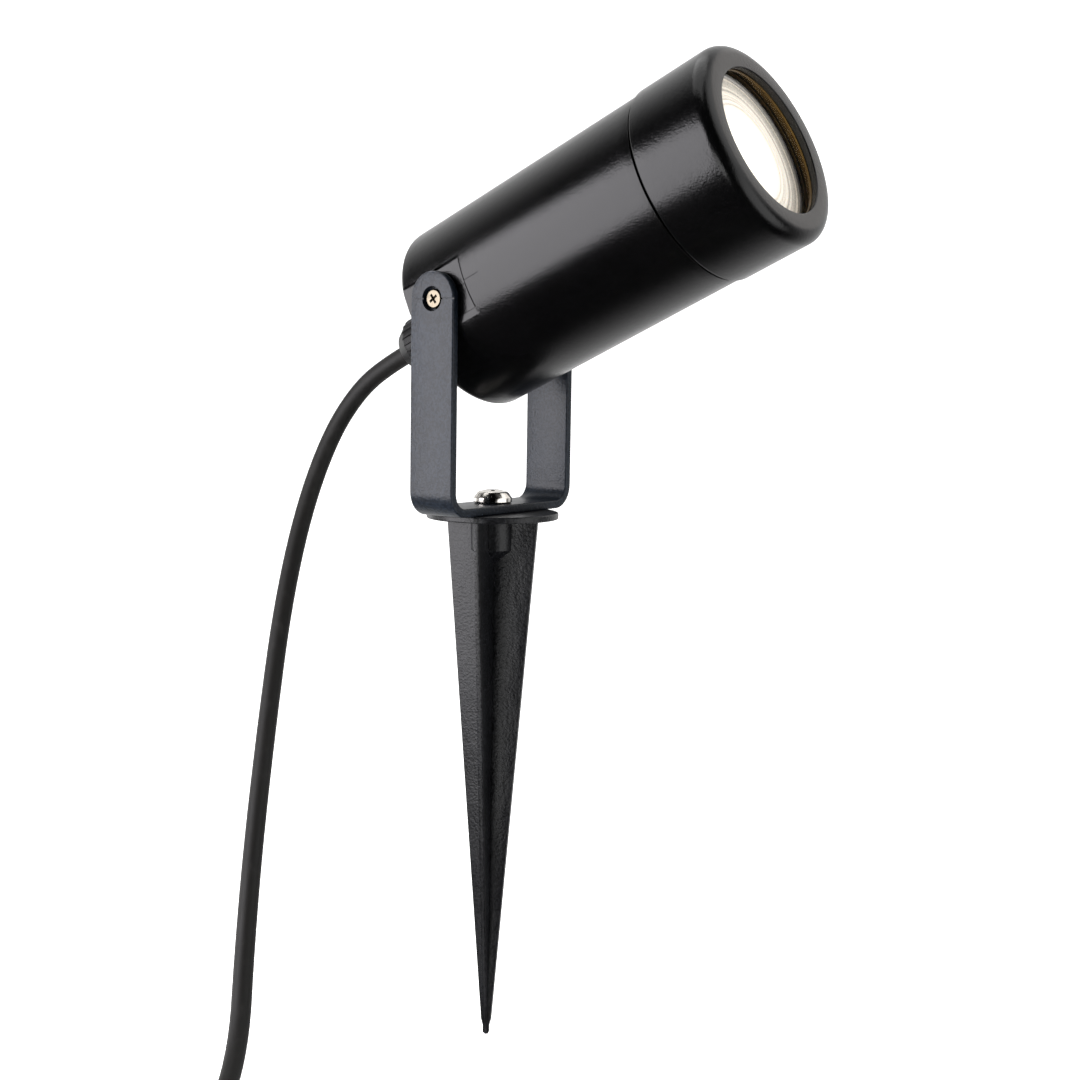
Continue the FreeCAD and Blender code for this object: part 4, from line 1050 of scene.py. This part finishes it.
@dataclass
class LampHead:
    """The head's tube with its milled flats, its pivot screws and the gland behind it."""

    around: Around
    radius: float = 29.5
    rear: float = -12.0
    rear_inside: float = -8.0
    cord_hole: float = 6.3
    bore: float = 26.6
    mouth: float = 25.6
    lamp_seat: float = 24.6
    seam: float = 78.1
    neck: float = 28.0
    neck_end: float = 90.0
    flat: float = 27.3
    flat_half: float = 8.3
    flat_front: float = 12.1
    relief: float = 27.72
    index_front: float = 18.0
    line: float = 0.42
    line_depth: float = 0.22
    past: float = 34.0
    pivot_seat: float = 28.5
    pivot_head: float = 2.95
    pivot_high: float = 1.35
    ribs: int = 24
    rib_half: float = 0.5
    nut_radius: float = 9.2
    nut_end: float = -37.5
    nut_start: float = -18.4

    def build(self) -> None:
        """Build the tube, the screws and the gland."""
        put(self.tube(), "head", "head_coat", "head_body")
        for side, name in SIDES:
            put(self.pivot_screw(side, name), "head", "nickel", "pivot_screws")
        self.gland()

    def tube(self) -> bpy.types.Object:
        """The tube, closed at its rear."""
        seam = self.seam - 0.25
        corners = [
            (self.rear, self.cord_hole, 0), (self.rear, self.radius, 2.0),
            (seam, self.radius, 0.15), (seam, self.neck, 0), (self.neck_end, self.neck, 0.3),
            (self.neck_end, self.mouth, 0), (86, self.mouth, 0), (86, self.lamp_seat, 0),
            (73, self.lamp_seat, 0), (73, self.bore, 0), (self.rear_inside, self.bore, 0.8),
            (self.rear_inside, self.cord_hole, 0),
        ]
        piece = turned("head_tube", corners, HEAD_COAT, segments=192, step=3.0)
        past, half, line, groove = self.past, self.flat_half, self.line / 2, self.line * 0.8
        floor, bottom = self.flat - self.line_depth, self.radius - 0.32
        flats = [
            (past, -15), (self.relief, -15), (self.relief, -half), (floor, -half),
            (floor, groove - half), (self.flat, groove - half), (self.flat, -line),
            (floor, -line), (floor, line), (self.flat, line), (self.flat, half - groove),
            (floor, half - groove), (floor, half), (past, half),
        ]
        heights = [half * k / 6 for k in range(-6, 7)]
        arc = [(math.sqrt(bottom**2 - z * z), z) for z in heights]
        front = [(past, -half), *arc, (past, half)]
        low = self.radius - self.line_depth
        mark = [(past, -line), (low, -line), (low, line), (past, line)]
        start = self.flat_front + 0.2
        cuts = (
            (flats, self.rear - 5, self.flat_front), (front, start, start + groove),
            (mark, self.flat_front - 0.5, self.index_front),
        )
        tools = [
            prism([(side * y, z) for y, z in section], first, last)
            for side, _ in SIDES for section, first, last in cuts
        ]
        return carve(piece, tools, Seat.HEAD, sharp=28)

    def pivot_screw(self, side: int, name: str) -> bpy.types.Object:
        """One pivot screw in its ear."""
        seat, high, radius = self.pivot_seat, self.pivot_high, self.pivot_head
        corners = [
            (0, 0, 0), (0, radius, 0), (high * 0.6, radius, 0.3), (high, radius * 0.88, 0.35),
            (high, 0, 0),
        ]
        upright = lathe(rounded(corners), 64, 0.4, "Z")
        turn = rotation(-90 * side, "X")
        place = Matrix.Translation((0, side * seat, 0)) @ turn
        bmesh.ops.transform(upright, matrix=place, verts=upright.verts)
        piece = finished(f"pivot_screw_{name}", upright, Seat.HEAD, SHADED_SCREW_NICKEL, 40)
        recess = cross_recess(
            Vector((0, side * (seat + high), 0)), reach=1.95, width=0.85, depth=1.2, turn=12.0,
            frame=turn,
        )
        return carve(piece, recess, Seat.HEAD)

    def gland(self) -> None:
        """The gland's ribbed nut, and the hexagon of its body."""
        start, end, radius = self.nut_start, self.nut_end, self.nut_radius
        shell = radius - 0.45
        corners = [
            (start, 7.4, 0), (start, shell, 0.5), (end + 5.2, shell, 2.2),
            (end + 0.9, radius - 2.6, 1.2), (end, radius - 4.4, 0.5), (end, 3.25, 0.3),
            (end + 1.6, 3.25, 0), (end + 3.0, 5.6, 0), (-27.6, 7.3, 0),
        ]
        nut = turned("gland_nut_shell", corners, GLAND_PLASTIC, segments=96, step=1.5)
        put(nut, "head", "gland_plastic", "gland_nut")
        rings = []
        for along, high in (
            (start - 0.5, 0.0), (start - 0.9, 0.45), (end + 6.4, 0.45), (end + 5.2, 0.3),
            (end + 4.2, -0.4),
        ):
            top, half = shell + high, self.rib_half
            section = [
                (-half, top - 0.5), (-0.3, top - 0.06), (0, top), (0.3, top - 0.06),
                (half, top - 0.5),
            ]
            rings.append([(along, y, z) for y, z in section])
        ribs = finished("gland_nut_ribs", loft(rings), Seat.HEAD, GLAND_PLASTIC)
        self.around.ring(ribs, self.ribs, GLAND_PLASTIC, Seat.HEAD, BEAM)
        put(ribs, "head", "gland_plastic")
        corners = [(-18.0, 6.4, 0), (-18.0, 8.8, 0.6), (-12.8, 8.8, 0.6), (-12.8, 6.4, 0)]
        body = turned("gland_hexagon", corners, GLAND_PLASTIC, segments=6, sharp=20)
        put(body, "head", "gland_plastic")


@dataclass
class FrontRing:
    """The screw-on front ring with its glass and seal."""

    radius: float = 30.1
    start: float = 78.6
    front: float = 104.4
    opening: float = 22.0
    thread: float = 28.06
    thread_end: float = 91.0
    bore: float = 27.0
    seat: float = 102.0
    glass_radius: float = 26.2
    glass_back: float = 98.2
    glass_front: float = 101.2
    seal_inside: float = 25.5
    seal_lip: float = 22.6
    seal_outside: float = 26.8
    seal_back: float = 90.5
    seal_rings: int = 5

    def build(self) -> None:
        """Build the ring, the glass and the seal."""
        put(self.ring(), "bezel", "head_coat", "front_bezel")
        back, front = self.glass_back, self.glass_front
        corners = [
            (back, 0, 0), (back, self.glass_radius, 0.3), (front, self.glass_radius, 0.3),
            (front, 0, 0),
        ]
        put(turned("front_glass_disc", corners, GLASS, arc=3), "lens_set", "glass", "lens_glass")
        put(self.seal(), "lens_set", "black_rubber", "lens_gasket")

    def ring(self) -> bpy.types.Object:
        """The ring, with the steps round its opening."""
        front, opening = self.front, self.opening
        corners = [
            (self.start, self.thread, 0), (self.start, self.radius, 0.45),
            (front, self.radius, 4.3), (front, opening, 0.35), (front - 0.9, opening, 0.12),
            (front - 0.9, opening + 0.45, 0.1), (front - 1.7, opening + 0.45, 0.12),
            (front - 1.7, opening + 0.9, 0.1), (self.seat, opening + 0.9, 0),
            (self.seat, self.bore, 0), (self.thread_end, self.bore, 0),
            (self.thread_end, self.thread, 0),
        ]
        return turned(
            "front_ring", corners, HEAD_COAT, segments=192, step=4.0, arc=10, sharp=28
        )

    def seal(self) -> bpy.types.Object:
        """The seal, which holds the glass and has fine rings behind it."""
        inside, lip = self.seal_inside, self.seal_lip
        corners = [
            (self.seat, lip, 0.15), (self.seat, self.seal_outside, 0),
            (self.seal_back, self.seal_outside, 0), (self.seal_back, inside, 0.3),
        ]
        for k in range(self.seal_rings):
            along = 91.4 + k * 1.3
            corners += [
                (along, inside, 0.1), (along + 0.35, inside - 0.55, 0.12),
                (along + 0.7, inside, 0.1),
            ]
        groove = self.glass_radius + 0.02
        corners += [
            (self.glass_back, inside, 0), (self.glass_back, groove, 0),
            (self.glass_front, groove, 0), (self.glass_front, lip, 0.15),
        ]
        return turned("glass_seal", corners, GLASS_SEAL, segments=144, arc=4, sharp=40)


@dataclass
class Lamp:
    """The reflector lamp behind the glass."""

    front: float = 97.4
    rim: float = 25.0
    lens_thick: float = 2.8
    lens_rings: int = 6

    def build(self) -> None:
        """Build the lamp's housing and its frosted lens."""
        front, lens, rim = self.front, LENS_RADIUS, self.rim
        back, seat = front - self.lens_thick, lens + 0.2
        corners = [
            (43.4, 0, 0), (43.4, 11.6, 0.6), (52.4, 12, 0.8), (54.4, 14.6, 1.0),
            (61.4, 16.4, 3.0), (85.0, 23.4, 3.0), (89.5, rim, 1.5), (front, rim, 0.5),
            (front, seat, 0.2), (back, seat, 0), (back, 21.4, 0), (83.6, 18.7, 0),
            (81.6, 18.7, 0), (81.6, 0, 0),
        ]
        shell = turned("lamp_shell", corners, LAMP_PLASTIC)
        put(shell, "lamp", "lamp_plastic", "lamp_housing")
        face = front - 0.5
        corners = [(front - 2.7, 0, 0), (front - 2.7, lens, 0), (face, lens, 0.3)]
        for k in range(self.lens_rings):
            outer = lens - 1.2 - 1.0 * k
            corners += [(face, outer, 0.08), (face - 0.3, outer - 0.5, 0.08)]
        corners += [(face, 16.2, 0.2), (face + 0.3, 9, 0), (face + 0.4, 0, 0)]
        disc = turned("lamp_lens_disc", corners, LENS, arc=3)
        put(disc, "lamp", "lamp_optic", "lamp_lens")


@dataclass
class Cord:
    """The cord from the gland to its bare end, with the length that isn't seen in a tied coil."""

    radius: float = 3.0
    first: float = 41.1
    pitch: float = 6.5
    layer: float = 6.5
    rise: float = 1.3
    turn: float = 216.34
    centre: tuple[float, float] = (48.3, -114.7)
    half_turns: int = 11
    points_per_half: int = 8
    length: float = 1.4717
    route: list[Place] = field(
        default_factory=lambda: [
            (-34.11, 0.0, 51.42), (-46.39, 0.0, 45.81), (-56.5, -2.0, 37.0),
            (-64.5, -6.0, 22.5), (-67.5, -15.0, -1.0), (-62.0, -30.0, -30.0),
            (-51.5, -47.0, -62.0), (-40.0, -64.5, -97.0), (-29.0, -79.0, -126.0),
            (-17.0, -92.5, -146.5),
        ]
    )

    def build(self) -> None:
        data = bpy.data.curves.new("cord_line", "CURVE")
        data.dimensions = "3D"
        points = [Vector(point) for point in self.route] + self.coil()
        spline = data.splines.new("NURBS")
        spline.points.add(len(points) - 1)
        for held, point in zip(spline.points, points):
            held.co = (*(point * MM), 1)
        spline.order_u = 3
        spline.use_endpoint_u = True
        spline.resolution_u = 6
        line = add_object("cord_line", data)
        path = [tuple(point.co) for point in evaluated(line).vertices]
        data.bevel_depth = self.radius * MM
        data.bevel_resolution = 6
        data.use_fill_caps = True
        mesh = evaluated(line)
        bpy.data.objects.remove(line)
        mesh.name = "cord"
        mesh.materials.clear()
        mesh.materials.append(CORD_RUBBER.material())
        smooth(mesh, 50)
        cord = add_object("cord", mesh)
        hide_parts("cable", "cable_coil")
        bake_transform(cord)
        tuple(path[0])
        LOG.info("cord of %d points", len(path))

    def coil(self) -> list[Vector]:
        """The coil's control points: half turns that spiral in above and out below."""
        low = -SPIKE_DEPTH + self.rise + self.radius
        high = low + self.layer
        frame = Matrix.Translation((*self.centre, 0)) @ rotation(self.turn, "Z")
        swell = 2 / (1 + math.cos(math.pi / self.points_per_half / 2))
        points = [Vector((self.first, -32.0, high)), Vector((self.first, -9.0, high))]
        across, side, middle = self.first, 1, self.half_turns // 2
        for half in range(self.half_turns):
            turns_in = half if half <= middle else self.half_turns - 1 - half
            radius = self.first - turns_in * self.pitch / 2
            centre, reach = across - side * radius, side * radius * swell
            for k in range(self.points_per_half):
                share = (k + 0.5) / self.points_per_half
                angle = math.pi * share
                drop = 0.0 if half < middle else 1.0 if half > middle else share
                x, y = centre + reach * math.cos(angle), reach * math.sin(angle)
                points.append(Vector((x, y, low + self.layer * (1 - drop))))
            across, side = centre - side * radius, -side
        points.append(Vector((across, side * 1.0, low)))
        points.append(Vector((across, side * 2 * self.radius, low)))
        return [frame @ point for point in points]


# ---- the picture -----------------------------------------------------------------------------


@dataclass(frozen=True)
class Bearing:
    """A direction from the head, in degrees."""

    azimuth: float
    elevation: float

    def direction(self) -> Vector:
        """The way there."""
        azimuth, elevation = math.radians(self.azimuth), math.radians(self.elevation)
        flat = math.cos(elevation)
        return Vector((math.cos(azimuth) * flat, math.sin(azimuth) * flat, math.sin(elevation)))


@dataclass(frozen=True)
class SoftBox(Bearing):
    """A rectangular light, in metres."""

    name: str
    distance: float
    wide: float
    high: float
    radiance: float
    colour: Colour = (1.0, 1.0, 1.0)


@dataclass(frozen=True)
class Glow(Bearing):
    """A soft patch of the surround that a gloss sees. Its core and edge are in degrees."""

    core: float
    edge: float
    strength: float


@dataclass
class Studio:
    """The pale floor, the soft lights and the camera."""

    camera_place: Place = (322.55, -413.20, 49.98)
    camera_aim: Place = (18.62, 0.0, -5.59)
    camera_roll: float = 0.91
    lens: float = 55.89
    away: Place = (-0.5925, 0.8056, 0.0)
    lit: Place = (40.0, 0.0, 85.0)
    gloss_range: tuple[float, float] = (0.05, 0.7)
    floor_front: float = -6.0
    floor_back: float = 1.6
    floor_half: float = 7.0
    wall_bend: float = 1.2
    wall_top: float = 6.0
    glows: tuple[Glow, ...] = (
        Glow(-86.0, -15.0, 9.0, 17.0, 3.8), Glow(25.0, 42.0, 8.0, 36.0, 1.7),
        Glow(6.0, -8.0, 14.0, 38.0, 2.2), Glow(180.0, -6.0, 8.0, 22.0, 2.0),
    )
    boxes: tuple[SoftBox, ...] = (
        SoftBox(-121.4, -2.0, "key_box", 0.5, 0.45, 0.46, 7.6, (0.98, 0.96, 1.0)),
        SoftBox(76.0, 29.0, "face_box", 1.2, 0.7, 0.6, 0.42, (1.0, 0.9, 0.83)),
        SoftBox(180.0, 78.0, "top_box", 0.8, 0.8, 0.8, 1.6),
    )

    def build(self) -> None:
        """Set up the stage."""
        self.camera()
        self.ground()
        self.surround()
        self.lights()

    def camera(self) -> None:
        """The camera, at the photograph's own place."""
        data = bpy.data.cameras.new("camera")
        data.lens = self.lens
        data.sensor_width = 36
        data.clip_start = 0.01
        data.clip_end = 30
        camera = add_object("camera", data)
        place, aim = Vector(self.camera_place) * MM, Vector(self.camera_aim) * MM
        look = (aim - place).to_track_quat("-Z", "Y").to_matrix().to_4x4()
        roll = rotation(self.camera_roll, "Z")
        camera.matrix_world = Matrix.Translation(place) @ look @ roll
        bpy.context.scene.camera = camera

    def ground(self) -> None:
        """A pale floor that curves up behind into a pale wall."""
        shape = bmesh.new()
        back, bend = self.floor_back, self.wall_bend
        profile = [(self.floor_front, 0.0), (back, 0.0)]
        for k in range(1, 13):
            angle = math.pi / 2 * k / 12
            profile.append((back + bend * math.sin(angle), bend * (1 - math.cos(angle))))
        profile.append((back + bend, self.wall_top))
        away = Vector(self.away)
        side = Vector((away.y, -away.x, 0))
        low = -SPIKE_DEPTH * MM - 0.0002
        rows = [
            [
                shape.verts.new(away * along + side * wide + Vector((0, 0, low + high)))
                for wide in (-self.floor_half, self.floor_half)
            ]
            for along, high in profile
        ]
        for here, there in zip(rows, rows[1:]):
            shape.faces.new((here[0], here[1], there[1], there[0]))
        bmesh.ops.recalc_face_normals(shape, faces=shape.faces)
        data = bpy.data.meshes.new("floor")
        shape.to_mesh(data)
        shape.free()
        data.polygons.foreach_set("use_smooth", [True] * len(data.polygons))
        paper = Shader("studio_paper")
        paper.set(
            Base_Color=(0.93, 0.93, 0.93, 1), Roughness=0.85, Emission_Color=(1, 1, 1, 1),
            Emission_Strength=0.85,
        )
        data.materials.append(paper.material)
        floor = add_object("floor", data)
        floor.visible_glossy = False

    def surround(self) -> None:
        """A surround that looks white, and that a gloss sees as a bright back and a dim front."""
        world = bpy.data.worlds.new("studio")
        world.use_nodes = True
        tree = Tree(world.node_tree)
        place = tree.node("ShaderNodeTexCoord").outputs["Generated"]

        def facing(way: Place | Vector) -> Value:
            """The cosine of a ray's angle from the given way."""
            sockets = {0: place, 1: way}
            node = tree.node("ShaderNodeVectorMath", sockets, operation="DOT_PRODUCT")
            return Value(tree, node.outputs["Value"])

        total = facing(self.away).between(*self.gloss_range)
        for glow in self.glows:
            edge, core = (math.cos(math.radians(angle)) for angle in (glow.edge, glow.core))
            total = total + facing(glow.direction()).between(edge, core, glow.strength)
        ray = tree.node("ShaderNodeLightPath").outputs["Is Camera Ray"]
        seen = tree.node("ShaderNodeMix", {"Factor": ray, 2: total, 3: 1.0})
        background = world.node_tree.nodes["Background"]
        tree.give(background.inputs["Strength"], seen)
        tree.give(background.inputs["Color"], (1, 1, 1, 1))
        bpy.context.scene.world = world
        bpy.context.scene.view_settings.view_transform = "Standard"

    def lights(self) -> None:
        """The soft boxes, each a panel that looks at the head from its own side."""
        for box in self.boxes:
            out = box.direction()
            data = bpy.data.lights.new(box.name, "AREA")
            data.shape = "RECTANGLE"
            data.size, data.size_y = box.wide, box.high
            data.energy = math.pi * box.radiance * box.wide * box.high
            data.color = box.colour
            light = add_object(box.name, data)
            light.visible_camera = False
            turn = (-out).to_track_quat("-Z", "Y").to_matrix().to_4x4()
            place = Vector(self.lit) * MM + out * box.distance
            light.matrix_world = Matrix.Translation(place) @ turn


def main() -> None:
    """Build the light and its studio."""
    logging.basicConfig(level=logging.INFO, format="%(name)s: %(message)s")
    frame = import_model()
    dress_nodes(frame["nodes"])
    around = Around()
    Studio().build()
    Cord().build()
    GroundSpike(around).build()
    Yoke().build()
    LampHead(around).build()
    FrontRing().build()
    Lamp().build()


if __name__ == "__main__":
    main()
